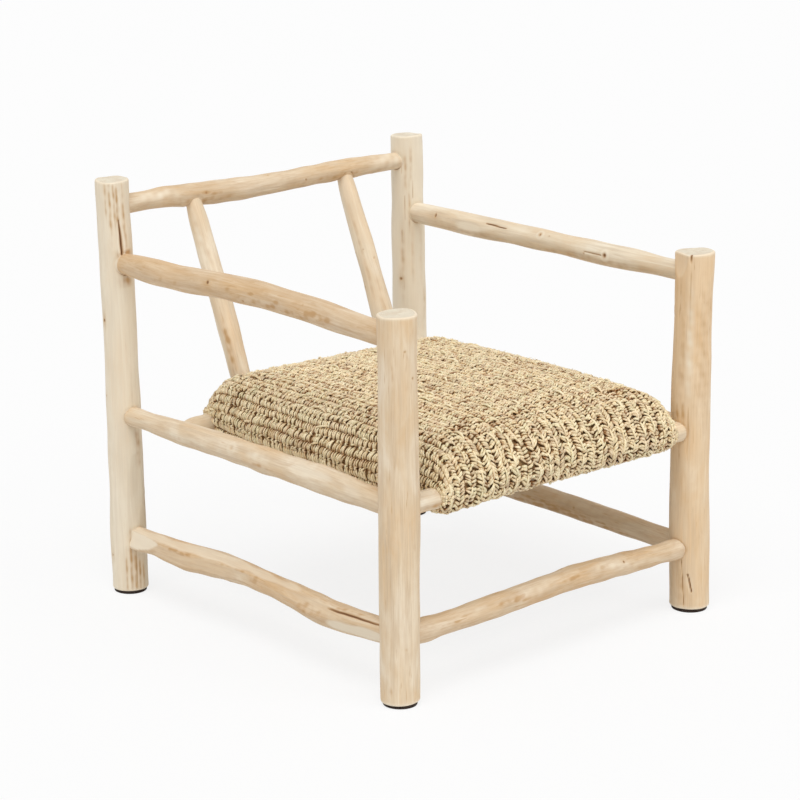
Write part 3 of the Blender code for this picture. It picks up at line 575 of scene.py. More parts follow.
class Skin:
    """The surface of a limb: distances from its centre line and the marks on it, ring by ring."""

    def __init__(self, source, sides, wood, rng):
        edge = wood.edge
        fine = edge * np.array((0.0, 0.12, 0.3, 0.6, 1.0))
        count = int(source.length / wood.cell)
        along = np.r_[fine, np.linspace(edge * 1.6, source.length - edge * 1.6, count),
                      source.length - fine[::-1]]
        self.source, self.sides = source, sides
        self.along = along[:, None]
        self.turn = full_turn(sides)[None, :]
        self.points, radii, self.first, self.second = source.at(along)
        self.radius = radii[:, None] * np.ones((1, sides))
        self.shift = np.zeros_like(self.radius)
        self.slide, self.stain_and_shade, self.dark = (np.zeros_like(self.radius) for _ in range(3))
        self.bare_and_highlight, self.warm = (np.zeros_like(self.radius) for _ in range(2))
        self.roughen(wood.lump, rng)

    def roughen(self, height, rng):
        """Natural unevenness: swellings, flats that drift round the limb and shallow flutes."""
        for lobes, scale, waves in ((0, 0.7, 4), (2, 0.9, 4), (3, 0.55, 4), (4, 0.35, 3), (5, 0.25, 3),
                                    (7, 0.16, 2), (9, 0.10, 2)):
            for _ in range(waves):
                wave = rng.uniform(0.05, 0.30)
                drift, start = rng.uniform(-4.0, 4.0), rng.uniform(0, 2 * math.pi, 2)
                self.shift += (height * scale * rng.uniform(0.4, 1.0)
                               * np.cos(lobes * self.turn + drift * self.along + start[0])
                               * np.cos(2 * math.pi * self.along / wave + start[1]))

    def gaps(self, place, turn):
        """Distances along and around the limb from a place given as a share of the length and a turn."""
        around = (self.turn - math.radians(turn) + math.pi) % (2 * math.pi) - math.pi
        return self.along - place * self.source.length, around * self.radius, around

    def surface(self):
        """Points of the skin, ring by ring."""
        ways = (self.first[:, None, :] * np.cos(self.turn)[..., None]
                + self.second[:, None, :] * np.sin(self.turn)[..., None])
        axis = np.cross(self.first, self.second)[:, None, :]
        reach = ways * (self.radius + self.shift)[..., None]
        return self.points[:, None, :] + reach + axis * self.slide[..., None]

    def wear(self, edge, rng):
        """Sawn ends: pale edges, worn and with a painted highlight on their rounding, and a top that isn't cut
        quite square.
        """
        left = self.source.length - self.along
        # Pale rims at both ends: wear and a painted highlight along the rounded edge.
        for gap, tone in ((self.along, 0.9), (left, 0.7)):
            self.bare_and_highlight = np.maximum(self.bare_and_highlight, tone * np.exp(-(gap / (1.3 * edge)) ** 2))
        start = rng.uniform(0, 2 * math.pi, 4)
        ragged = sum(height * np.cos(lobes * self.turn + start[n]) for n, (lobes, height)
                     in enumerate(((1, 0.0011), (2, 0.0005), (3, 0.0004), (5, 0.0003))))
        self.slide += (ragged - 0.0012) * np.clip(1 - left / 0.015, 0.0, 1.0) ** 2

    def seat(self, guest, which, crease, lowest):
        """A shallow groove where another limb sits in this one, darkened on one side by grime and painted
        shade.
        """
        point, out, radius = guest.end(which)
        first, second = across(out)
        offset = self.surface() - point
        depth = offset @ out
        gap = np.linalg.norm(offset - depth[..., None] * out, axis=2) - radius
        near = np.where((depth > -0.004) & (depth < 0.03), 1.0, 0.0)
        side = np.cos(np.arctan2(offset @ second, offset @ first) - lowest)
        grime_and_shade = near * (0.15 + 0.85 * np.clip(side, 0.0, 1.0) ** 2)
        self.shift -= crease * near * np.exp(-(gap / 0.0020) ** 2)
        # Painted shade and grime in the joint: a dark line in the groove and a honey halo round it.
        self.dark = np.maximum(self.dark, 0.65 * grime_and_shade * np.exp(-(gap / 0.0012) ** 2))
        self.stain_and_shade = np.maximum(self.stain_and_shade, 0.6 * grime_and_shade * np.exp(-(gap / 0.0045) ** 2))


class Knot:
    """A round branch scar, sunk in the middle."""

    def __init__(self, place, turn, size, sink=0.0010, tone=0.85, halo=0.5, slant=1.0, ring=0.0):
        self.place, self.turn, self.size = place, turn, size
        self.sink, self.tone, self.halo, self.slant, self.ring = sink, tone, halo, slant, ring

    def work(self, skin):
        along, around, _ = skin.gaps(self.place, self.turn)
        far = (along / (self.size * self.slant)) ** 2 + (around / self.size) ** 2
        skin.shift += self.sink * (0.7 * np.exp(-far / 5) - 1.6 * np.exp(-far * 1.6))
        skin.dark = np.maximum(skin.dark, self.tone * np.exp(-far * 1.3))
        halo = np.exp(-(along / (self.size * 5)) ** 2 - (around / (self.size * 1.7)) ** 2)
        skin.stain_and_shade = np.maximum(skin.stain_and_shade, self.halo * halo)
        skin.bare_and_highlight = np.maximum(skin.bare_and_highlight, self.ring * np.exp(-((np.sqrt(far) - 2.0) / 0.7) ** 2))


class Crack:
    """A drying crack along the grain, with pale torn lips."""

    def __init__(self, start, stop, turn, width=0.0011, depth=0.0016, tone=0.9, lips=0.3, slope=0.0,
                 wedge=0.0):
        self.start, self.stop, self.turn = start, stop, turn
        self.width, self.depth, self.tone, self.lips = width, depth, tone, lips
        self.slope, self.wedge = slope, wedge

    def work(self, skin):
        along, around, _ = skin.gaps((self.start + self.stop) / 2, self.turn)
        half = (self.stop - self.start) / 2 * skin.source.length
        taper = np.sqrt(np.clip(1 - (along / half) ** 2, 0.0, 1.0)) * (1 - self.wedge * along / half)
        wander = self.slope * along + 0.0002 * np.sin(along * 75) + 0.0001 * np.sin(along * 230)
        gap = (around - wander) / np.maximum(self.width * taper, 1e-5)
        line = np.exp(-gap ** 2) * (taper > 0)
        skin.shift -= self.depth * line
        skin.dark = np.maximum(skin.dark, self.tone * line)
        skin.bare_and_highlight = np.maximum(skin.bare_and_highlight, self.lips * np.exp(-((np.abs(gap) - 2.2) / 1.2) ** 2) * taper)


class Stain:
    """A soft honey patch along the limb, or a pale one where fresh wood shows; on the right stretcher they
    also paint shade and light.
    """

    def __init__(self, start, stop, turn, spread=0.008, tone=0.6, bare_and_highlight=False, slope=0.0):
        self.start, self.stop, self.turn = start, stop, turn
        self.spread, self.tone, self.bare_and_highlight, self.slope = spread, tone, bare_and_highlight, slope

    def work(self, skin):
        along, around, _ = skin.gaps((self.start + self.stop) / 2, self.turn)
        half = abs(self.stop - self.start) / 2 * skin.source.length
        fade = np.clip(1 - (along / half) ** 2, 0.0, 1.0)
        ripple = 1 + 0.35 * np.sin(along * 150 + around * 260) + 0.2 * np.sin(along * 370)
        patch = self.tone * fade * np.exp(-((around - self.slope * along) / self.spread) ** 2) * ripple
        target = skin.bare_and_highlight if self.bare_and_highlight else skin.stain_and_shade
        np.maximum(target, np.clip(patch, 0.0, 1.0), out=target)


class Scoop:
    """A flat left by a drawknife."""

    def __init__(self, start, stop, turn, depth, bare_and_highlight=0.5):
        self.start, self.stop, self.turn, self.depth, self.bare_and_highlight = start, stop, turn, depth, bare_and_highlight

    def work(self, skin):
        along, _, around = skin.gaps((self.start + self.stop) / 2, self.turn)
        half = (self.stop - self.start) / 2 * skin.source.length
        fade = np.clip(1 - (along / half) ** 2, 0.0, 1.0)
        facing = np.maximum(np.cos(around), 0.35)
        flat = (skin.radius - self.depth * fade) / facing
        cut = np.minimum(flat - skin.radius - skin.shift, 0.0) * (fade > 0) * (np.cos(around) > 0.35)
        skin.shift += cut
        skin.bare_and_highlight = np.maximum(skin.bare_and_highlight, self.bare_and_highlight * np.clip(-cut / 0.0012, 0.0, 1.0))


class Swell:
    """A thicker place, such as the flare where a limb meets a post."""

    def __init__(self, place, turn, reach, height):
        self.place, self.turn, self.reach, self.height = place, turn, reach, height

    def work(self, skin):
        along, _, around = skin.gaps(self.place, self.turn)
        skin.shift += self.height * np.exp(-(along / self.reach) ** 2) * (0.5 + 0.5 * np.cos(around)) ** 2


# How pale (bare), how honey-coloured (stain) and how sunny (warm) each limb is all over.
CAST = {
    "back_left_post": (0.60, 0.0, 0.0),
    "back_right_post": (0.78, 0.0, 0.0),
    "front_right_post": (0.0, 0.10, 0.55),
    "front_left_post": (0.0, 0.16, 0.20),
    "left_arm": (0.0, 0.58, 0.20),
    "right_arm": (0.15, 0.02, 0.0),
    "crest_rail": (0.0, 0.44, 0.05),
    "right_stretcher": (0.0, 0.52, 0.0),
    "left_spindle": (0.15, 0.08, 0.1),
    "right_spindle": (0.30, 0.05, 0.1),
    "left_stretcher": (0.0, 0.50, 0.10),
    "left_seat_rail": (0.0, 0.30, 0.0),
    "front_stretcher": (0.0, 0.56, 0.0),
}
# The marks that show on each limb: places along it are shares of its length, turns are degrees.
MARKS = {
    "back_left_post": (
        Crack(0.815, 0.910, -106, width=0.0023, depth=0.0036, tone=0.85, lips=0.9, slope=-0.05, wedge=0.3),
        Stain(0.810, 0.840, -92, spread=0.014, tone=0.9), Stain(0.745, 0.775, -92, spread=0.010, tone=0.8),
        Knot(0.667, 172, 0.0030), Stain(0.30, 0.42, -78, spread=0.006, tone=0.6),
        Scoop(0.16, 0.34, -92, 0.0022), Stain(-0.04, 0.15, -106, spread=0.0026, tone=1.0),
        Stain(-0.02, 0.10, -92, spread=0.0022, tone=0.9), Stain(-0.02, 0.17, -120, spread=0.0024, tone=0.8),
        Stain(-0.02, 0.08, -78, spread=0.0020, tone=0.7), Stain(-0.02, 0.12, -135, spread=0.0018, tone=0.7),
        Crack(0.01, 0.13, -102, width=0.0009, depth=0.0008, tone=0.5, lips=0.2),
        Stain(0.84, 1.04, -136, spread=0.0026, tone=0.6), Stain(0.86, 1.04, -112, spread=0.0024, tone=0.8),
        Stain(0.86, 1.02, -103, spread=0.0020, tone=0.9, bare_and_highlight=True),
        Stain(0.88, 1.04, -122, spread=0.0022, tone=0.7), Stain(0.80, 1.02, -90, spread=0.0030, tone=0.6),
        Stain(0.90, 1.04, -150, spread=0.0022, tone=0.6),
    ),
    "front_left_post": (
        Stain(0.76, 0.92, -146, spread=0.0022, tone=0.45), Stain(0.55, 0.68, -143, spread=0.0020, tone=0.40),
        Knot(0.150, -112, 0.0030, sink=0.0004, tone=0.25, halo=0.25),
        Stain(0.005, 0.06, -160, spread=0.004, tone=0.5), Stain(0.62, 0.96, -100, spread=0.012, tone=0.16),
        Stain(0.30, 0.50, -120, spread=0.010, tone=0.16),
    ),
    "front_right_post": (
        Crack(0.965, 1.03, -149, width=0.0016, depth=0.0040, tone=0.9, lips=0.1, wedge=-0.6),
        Crack(0.80, 0.97, -149, width=0.0009, depth=0.0006, tone=0.45, lips=0.0),
        Scoop(0.93, 1.06, 170, 0.0050, bare_and_highlight=0.2), Scoop(0.62, 0.80, -30, 0.0016, bare_and_highlight=0.6),
        Crack(0.046, 0.108, -136, width=0.0013, tone=0.95, slope=-0.22),
        Knot(0.104, -143, 0.0016, tone=0.8, halo=0.2),
        Crack(-0.02, 0.17, -157, width=0.0010, depth=0.0010, tone=0.6, lips=0.15, slope=-0.06),
        Stain(0.0, 0.12, -160, spread=0.006, tone=0.6),
        Crack(0.42, 0.60, -146, width=0.0010, depth=0.0006, tone=0.6, lips=0.0),
        Stain(0.48, 0.62, -160, spread=0.003, tone=0.8), Stain(0.50, 0.60, -180, spread=0.004, tone=0.8),
        Stain(0.45, 0.985, -100, spread=0.018, tone=0.42), Stain(0.50, 0.93, -168, spread=0.006, tone=0.45),
        Stain(0.55, 0.95, -146, spread=0.006, tone=0.5, bare_and_highlight=True),
        Stain(0.40, 0.58, -172, spread=0.003, tone=0.6), Stain(0.70, 0.98, -75, spread=0.004, tone=0.5),
    ),
    "back_right_post": (
        Knot(0.632, -160, 0.0034, halo=0.4, tone=0.7), Stain(0.86, 0.97, -138, spread=0.003, tone=0.5),
        Stain(0.88, 0.99, -118, spread=0.0025, tone=0.5), Stain(0.74, 0.90, -125, spread=0.0022, tone=0.45),
        Stain(0.55, 0.80, -152, spread=0.004, tone=0.35),
        Crack(0.90, 0.95, -150, width=0.0008, depth=0.0004, tone=0.4, lips=0.0),
        Crack(0.84, 0.89, -112, width=0.0008, depth=0.0004, tone=0.4, lips=0.0),
        Crack(0.78, 0.85, -142, width=0.0008, depth=0.0004, tone=0.4, lips=0.0),
        Crack(0.72, 0.76, -155, width=0.0008, depth=0.0004, tone=0.4, lips=0.0),
    ),
    "left_arm": (
        Knot(0.622, -70, 0.0036, halo=0.4), Stain(0.12, 0.62, -112, spread=0.010, tone=0.75),
        Stain(0.12, 0.32, -88, spread=0.008, tone=1.0), Stain(0.32, 0.39, -86, spread=0.006, tone=0.9),
        Stain(0.42, 0.49, -80, spread=0.0034, tone=1.0), Stain(0.48, 0.60, -82, spread=0.007, tone=0.65),
        Stain(0.66, 0.93, -98, spread=0.009, tone=0.6), Stain(0.78, 0.95, -62, spread=0.006, tone=0.5),
        Stain(0.02, 0.30, -70, spread=0.008, tone=0.3), Stain(0.35, 0.75, -30, spread=0.010, tone=0.35),
    ),
    "right_arm": (
        Knot(0.890, -68, 0.0046, sink=0.0022, slant=0.5, halo=0.4),
        Crack(0.600, 0.695, -54, width=0.0013, depth=0.0020, tone=0.9, lips=0.1, slope=0.05, wedge=-0.5),
        Knot(0.490, -48, 0.0036, tone=0.6, halo=0.3, ring=0.6),
        Crack(0.262, 0.325, -84, width=0.0012, tone=0.6, lips=0.4),
        Knot(0.250, -82, 0.0042, sink=0.0018, halo=0.3, ring=0.9),
        Crack(0.150, 0.235, -70, width=0.0008, tone=0.35), Scoop(0.70, 0.82, -85, 0.0016, bare_and_highlight=0.7),
        Stain(0.05, 0.55, -120, spread=0.010, tone=0.40), Stain(0.60, 0.90, -118, spread=0.008, tone=0.35),
    ),
    "crest_rail": (
        Knot(0.262, 76, 0.0032, halo=0.8, tone=0.6), Knot(0.620, 92, 0.0018, halo=0.2),
        Stain(0.05, 0.45, 112, spread=0.010, tone=0.6), Stain(0.50, 0.95, 110, spread=0.009, tone=0.6),
        Stain(0.20, 0.36, 84, spread=0.004, tone=0.7), Stain(0.55, 0.80, 70, spread=0.004, tone=0.35),
        Stain(0.02, 0.18, 60, spread=0.010, tone=0.6, bare_and_highlight=True),
        Stain(0.86, 1.08, 62, spread=0.020, tone=0.5, bare_and_highlight=True),
    ),
    "left_spindle": (
        Stain(0.14, 0.46, -148, spread=0.005, tone=0.85), Stain(0.10, 0.40, -162, spread=0.004, tone=0.5),
        Stain(0.5, 0.85, -120, spread=0.004, tone=0.35),
        Stain(0.6, 1.0, -150, spread=0.005, tone=0.6, bare_and_highlight=True),
    ),
    "right_spindle": (
        Stain(0.1, 0.5, -110, spread=0.006, tone=0.35), Stain(0.3, 0.9, -150, spread=0.003, tone=0.4),
        Knot(0.62, -140, 0.0018, tone=0.4, halo=0.2),
    ),
    "left_seat_rail": (
        Stain(0.37, 0.49, -98, spread=0.005, tone=0.75), Scoop(0.17, 0.33, -58, 0.0022, bare_and_highlight=0.5),
        Knot(0.55, -62, 0.0040, tone=0.25, halo=0.4, ring=0.25),
        Stain(0.60, 0.90, -100, spread=0.006, tone=0.40),
        Stain(0.40, 0.50, -60, spread=0.008, tone=0.5, bare_and_highlight=True),
    ),
    "right_seat_rail": (
        Knot(0.4, -80, 0.003), Stain(0.2, 0.6, 100, spread=0.008, tone=0.5),
    ),
    "front_seat_rail": (
        Stain(0.0, 0.12, 50, spread=0.010, tone=0.35), Stain(0.0, 0.10, 110, spread=0.006, tone=0.6),
    ),
    "left_stretcher": (
        Swell(0.99, -130, 0.040, 0.0075), Swell(0.80, -140, 0.050, 0.0020),
        Scoop(0.30, 1.02, -24, 0.0030, bare_and_highlight=0.5), Scoop(0.36, 0.93, -88, 0.0026, bare_and_highlight=0.15),
        Scoop(0.86, 1.06, -76, 0.0040, bare_and_highlight=0.8), Stain(0.66, 0.90, -58, spread=0.005, tone=0.9),
        Stain(0.70, 0.80, -66, spread=0.004, tone=0.9), Stain(0.42, 0.52, -84, spread=0.009, tone=0.8),
        Stain(0.36, 0.68, -58, spread=0.004, tone=0.7), Scoop(0.13, 0.36, -58, 0.0034, bare_and_highlight=0.1),
        Crack(-0.04, 0.20, -42, width=0.0019, depth=0.0030, tone=0.95, lips=0.2, wedge=-0.4),
        Scoop(-0.06, 0.20, -108, 0.0034, bare_and_highlight=0.8), Stain(0.16, 0.36, -75, spread=0.012, tone=0.7),
        Stain(0.0, 0.26, -24, spread=0.006, tone=0.7), Stain(0.20, 0.32, -100, spread=0.006, tone=0.7),
    ),
    # On the right stretcher the long honey streaks low on its inner side are stain and painted shade under the
    # seat, and the pale patch higher up is fresh wood and painted light.
    "right_stretcher": (
        Stain(0.02, 0.80, -122, spread=0.008, tone=1.0),
        Stain(0.10, 0.62, -98, spread=0.0030, tone=1.0, slope=0.01),
        Stain(0.30, 0.72, -88, spread=0.0026, tone=0.9), Knot(0.35, -70, 0.0026, tone=0.5),
        Stain(-0.05, 0.55, -44, spread=0.009, tone=0.22, bare_and_highlight=True),
    ),
    "front_stretcher": (
        Stain(0.06, 0.19, 74, spread=0.0024, tone=1.0), Stain(0.08, 0.22, 60, spread=0.0020, tone=0.9),
        Stain(0.25, 0.42, 66, spread=0.006, tone=1.0), Stain(0.30, 0.42, 86, spread=0.004, tone=0.8),
        Stain(0.48, 0.60, 68, spread=0.004, tone=1.0), Stain(0.61, 0.71, 56, spread=0.005, tone=0.9),
        Knot(0.754, 58, 0.0026, halo=0.6), Stain(0.14, 0.26, 52, spread=0.004, tone=0.30, bare_and_highlight=True),
        Stain(0.66, 0.92, 84, spread=0.004, tone=0.30, bare_and_highlight=True),
        Stain(0.55, 0.95, 108, spread=0.007, tone=0.40), Stain(0.15, 0.55, 88, spread=0.005, tone=0.4),
        Stain(0.34, 0.50, 60, spread=0.008, tone=0.35, bare_and_highlight=True),
        Stain(0.60, 0.80, 62, spread=0.008, tone=0.3, bare_and_highlight=True),
    ),
}


def scatter(rng):
    """A few small knots and streaks on any limb, anywhere round it."""
    marks = [Knot(rng.uniform(0.08, 0.92), rng.uniform(0, 360), rng.uniform(0.0014, 0.0026),
                  tone=rng.uniform(0.3, 0.7), halo=0.3) for _ in range(3)]
    for _ in range(7):
        start = rng.uniform(0.02, 0.75)
        marks.append(Stain(start, start + rng.uniform(0.08, 0.25), rng.uniform(0, 360),
                           spread=rng.uniform(0.002, 0.006), tone=rng.uniform(0.1, 0.35)))
    return marks


def limb_mesh(name, skin, sawn, wood):
    """Close a limb's skin into a mesh, with flat sawn ends where they show."""
    rings, sides = skin.radius.shape
    reach = skin.along[:, 0]
    for gap in (reach, reach[-1] - reach):
        left = np.clip(1 - gap / wood.edge, 0.0, 1.0)
        skin.shift -= (wood.edge * (1 - np.sqrt(1 - left ** 2)))[:, None] * (1.0 if sawn else 0.3)
    wall = skin.surface()
    top, bottom = wall[-1], wall[0]
    caps = [top.mean(0) + (top - top.mean(0)) * part for part in END_RINGS]
    points = np.vstack([wall.reshape(-1, 3)] + caps + [top.mean(0)[None], bottom.mean(0)[None]])
    index = np.arange((rings + len(END_RINGS)) * sides).reshape(-1, sides)
    fan, sole = ring_fan(index[-1], len(points) - 2), ring_fan(index[0], len(points) - 1, turned=True)
    mesh = build_mesh(name, points, (ring_quads(index), fan, sole))
    cap_count = len(END_RINGS) * sides + 2
    for label in ("stain_and_shade", "dark", "bare_and_highlight", "warm"):
        values = np.clip(getattr(skin, label), 0.0, 1.0)
        add_values(mesh, label, np.r_[values.ravel(), np.zeros(cap_count)])
    add_values(mesh, "sawn", np.r_[np.zeros(rings * sides), np.ones(cap_count)])
    around = np.stack((np.cos(skin.turn), np.sin(skin.turn)), axis=2)
    around = around * (skin.radius + skin.shift)[..., None]
    lift = np.broadcast_to(skin.along[..., None], (rings, sides, 1))
    grain = np.concatenate((around, lift), axis=2)
    ends = [np.concatenate((grain[-1, :, :2] * part, grain[-1, :, 2:]), axis=1) for part in END_RINGS]
    grain = np.vstack([grain.reshape(-1, 3)] + ends + [[[0, 0, reach[-1]]], [[0, 0, 0]]])
    start = GRAIN_APART * LIMBS.index(name)
    add_values(mesh, "grain", grain + np.array((start * 0.1, start * 0.07, start)))
    add_layout(mesh, limb_layout(rings, sides, reach / reach[-1]))
    return mesh


def limb_layout(rings, sides, heights):
    """Places on the colour map: the wall unrolled, and the two ends beside it."""
    levels = 0.01 + 0.98 * heights
    edges = 0.01 + 0.78 * np.arange(sides + 1) / sides
    low, high = np.meshgrid(np.arange(rings - 1), np.arange(sides), indexing="ij")
    wall = np.stack([np.stack((edges[high + dx], levels[low + dy]), axis=2) for dx, dy in QUAD], axis=2)
    turns = np.arange(sides + 1) * 2 * math.pi / sides
    spread = np.r_[1.0, np.linspace(0.9, 0.15, len(END_RINGS))]

    def rim(disc, part, ahead):
        turn = turns[ahead:sides + ahead]
        reach = DISC_RADIUS * part
        return np.stack((disc[0] + reach * np.cos(turn), disc[1] + reach * np.sin(turn)), axis=1)

    blocks = [wall]
    for layer in range(len(END_RINGS)):
        blocks.append(np.stack([rim(TOP_DISC, spread[layer + dy], dx) for dx, dy in QUAD], axis=1))
    for disc, part, order in ((TOP_DISC, spread[-1], (0, 1)), (SOLE_DISC, 1.0, (1, 0))):
        middle = np.full((sides, 2), disc)
        blocks.append(np.stack([rim(disc, part, ahead) for ahead in order] + [middle], axis=1))
    return np.vstack([block.reshape(-1, 2) for block in blocks])


def grow(context, names, sides, sawn=False):
    """Make the peeled limbs that stand in for some of the frame's solids."""
    wood = context.scene.armchair_wood
    material = once("peeled_branch", peeled_wood, wood)
    for name in names:
        rng = np.random.default_rng(LIMB_SEED + LIMBS.index(name))
        skin = Skin(limb(name), sides, wood, rng)
        bare_and_highlight, stain_and_shade, warm = CAST.get(name, (0.0, 0.0, 0.0))
        skin.stain_and_shade += stain_and_shade
        skin.warm += warm * (0.35 + 0.65 * skin.along / skin.source.length)
        for mark in (*MARKS.get(name, ()), *scatter(rng)):
            mark.work(skin)
        skin.bare_and_highlight = np.maximum(skin.bare_and_highlight, bare_and_highlight * np.clip(1 - 2 * (skin.stain_and_shade - stain_and_shade), 0.0, 1.0))
        if sawn:
            skin.wear(wood.edge, rng)
        for guest, which in SEATS.get(name, ()):
            skin.seat(limb(guest), which, wood.crease, rng.uniform(0, 2 * math.pi))
        mesh = limb_mesh(name, skin, sawn, wood)
        add_piece("peeled_" + name, mesh, material, (name,))


# Small frame parts

GLIDE_EDGE = 0.0012
GLIDE_NAIL = 0.002
GLIDE_SIDES = 64
PEG_SIDES = 24
PEG_PROUD = 0.0012
PEG_SUNK = 0.006


def turned_mesh(name, base, axis, profile, sides):
    """A closed round piece from (height, radius) steps along an axis."""
    ways = spokes(full_turn(sides), *across(axis))
    rings = [base + axis * height + ways * radius for height, radius in profile]
    middles = [(base + axis * height)[None] for height in (profile[0][0], profile[-1][0])]
    points = np.vstack(rings + middles)
    index = np.arange(len(profile) * sides).reshape(-1, sides)
    sole, crown = ring_fan(index[0], len(points) - 2, turned=True), ring_fan(index[-1], len(points) - 1)
    return build_mesh(name, points, (ring_quads(index), sole, crown))


def add_glides():
    """Round pads under the posts, each with the nail that holds it in the wood."""
    material = once("glide_pad", glide_felt)
    for name in GLIDES:
        low, high = (np.array(corner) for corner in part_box(name))
        base = np.array(((low[0] + high[0]) / 2, (low[1] + high[1]) / 2, low[2]))
        radius, height = (high[0] - low[0]) / 2, high[2] - low[2]
        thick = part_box(name.replace("_glide", "_post"))[0][2] - low[2]
        pad = [(0.0, radius - GLIDE_EDGE), (GLIDE_EDGE * 0.3, radius - GLIDE_EDGE * 0.3),
               (GLIDE_EDGE, radius), (thick - GLIDE_EDGE, radius), (thick, radius - GLIDE_EDGE * 0.5)]
        nail = [(thick, GLIDE_NAIL), (height - 2 * GLIDE_NAIL, GLIDE_NAIL), (height, GLIDE_NAIL * 0.2)]
        mesh = turned_mesh(name, base, np.array((0.0, 0.0, 1.0)), pad + nail, GLIDE_SIDES)
        add_piece("pad_" + name, mesh, material, (name,))


def add_pegs(context):
    """Whittled pegs, their heads a hair proud of the posts."""
    material = once("whittled_peg", split_wood, context.scene.armchair_wood)
    for name in PEGS:
        low, high = (np.array(corner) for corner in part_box(name))
        size = high - low
        lane = int(size.argmax())
        axis = np.zeros(3)
        axis[lane] = 1.0
        radius = np.sort(size)[:2].mean() / 2
        base = (low + high) / 2
        base[lane] = low[lane]
        ends = peg_overhang(base, axis, size[lane])
        start, stop = -ends[0], size[lane] + ends[1]
        soft = radius * 0.3
        profile = [(start, radius * 0.55), (start + soft * 0.4, radius * 0.85), (start + soft, radius),
                   (stop - soft, radius), (stop - soft * 0.4, radius * 0.85), (stop, radius * 0.55)]
        mesh = turned_mesh(name, base, axis, profile, PEG_SIDES)
        add_piece("whittled_" + name, mesh, material, (name,))


def peg_overhang(base, axis, size):
    """How far each end of a peg is lengthened so that an end close to the skin of its post shows."""
    extra = []
    for end, way in ((base, -axis), (base + axis * size, axis)):
        gaps = []
        for host in POSTS + ("left_seat_rail", "right_seat_rail"):
            centre, radius = nearest(limb(host), end)
            offset = end - centre
            if offset @ way > 0:
                gaps.append(radius - np.linalg.norm(offset))
        close = [gap for gap in gaps if abs(gap) < PEG_SUNK]
        extra.append(max(close) + PEG_PROUD if close else 0.0)
    return extra


def nearest(source, point):
    """Centre and radius of a limb where it passes closest to a point."""
    which = np.linalg.norm(source.centres - point, axis=1).argmin()
    return source.centres[which], source.thickness[which]


def finish_slats(context):
    """Give the hidden boards and screws their materials."""
    sawn = once("sawn_slat", split_wood, context.scene.armchair_wood)
    for names, material in ((SLATS, sawn), (SCREWS, once("zinc_steel", zinc_steel))):
        for name in names:
            SOLIDS[name].data.materials[0] = material


# Seat

# The stuffing below this height is held while the cushion is filled.
SEAT_HELD_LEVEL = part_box("front_seat_rail")[0][2] + 0.020
CLOTH = {"tension_stiffness": 25, "compression_stiffness": 25, "shear_stiffness": 12,
         "bending_stiffness": 4, "quality": 5}


class SeatForm:
    """The cushion's outer form, in from its outside by an inset."""

    def __init__(self, cushion, inset):
        low, high = (np.array(corner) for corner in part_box("raffia_cover"))
        rail_low, rail_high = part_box("front_seat_rail")
        self.cushion, self.inset = cushion, inset
        self.level = (rail_low[2] + rail_high[2]) / 2
        self.below = self.level - low[2] - inset
        self.middle = (low[:2] + high[:2]) / 2
        self.half = (high[:2] - low[:2]) / 2 - inset
        self.half[0] -= cushion.bulge

    def rounded(self, distance, roll):
        left = 1 - np.clip(distance / roll, 0.0, 1.0)
        return (1 - left ** self.cushion.fullness) ** (1 / self.cushion.fullness)

    def point(self, side, loop):
        """Side runs -1 to 1 from the left edge to the right; loop 0 to 1 over the top from back to front,
        1 to 2 back again underneath."""
        form = self.cushion
        loop = np.mod(loop, 2.0)
        over = loop < 1.0
        depth = np.where(over, np.cos(math.pi * loop), -np.cos(math.pi * (loop - 1)))
        width = self.half[0] + form.bulge * (1 - depth ** 2)
        to_side, to_end = (1 - np.abs(side)) * width, (1 - np.abs(depth)) * self.half[1]
        lift = self.rounded(to_side, form.side_roll) * self.rounded(to_end, form.end_roll)
        sink = self.rounded(to_side, self.below) * self.rounded(to_end, self.below)
        crown = form.crown * (1 - side ** 2) * (1 - depth ** 2)
        above = (form.rise - self.inset - form.lean / 2 * side) * lift + crown
        hang = form.droop * np.clip(-2 * side - 1, 0.0, 1.0) ** 1.5 * np.clip(-depth, 0.0, 1.0) ** 4
        level = self.level + np.where(over, above, -(self.below + hang) * sink)
        return np.stack(np.broadcast_arrays(self.middle[0] + side * width,
                                            self.middle[1] + depth * self.half[1], level), axis=-1)


def pillow_mesh(form):
    """A closed mesh of the cushion's form."""
    sides = -np.cos(np.linspace(0, math.pi, 73))
    loops = np.linspace(0, 2, 161)[:-1]
    grid = form.point(sides[:, None], loops[None, :])
    count = len(loops)
    quads = ring_quads(np.arange(len(sides) * count).reshape(-1, count))
    mesh = build_mesh("seat_stuffing", grid.reshape(-1, 3), (quads,))
    bm = bmesh.new()
    bm.from_mesh(mesh)
    bmesh.ops.remove_doubles(bm, verts=bm.verts, dist=1e-5)
    bmesh.ops.recalc_face_normals(bm, faces=bm.faces)
    bm.to_mesh(mesh)
    bm.free()
    return mesh


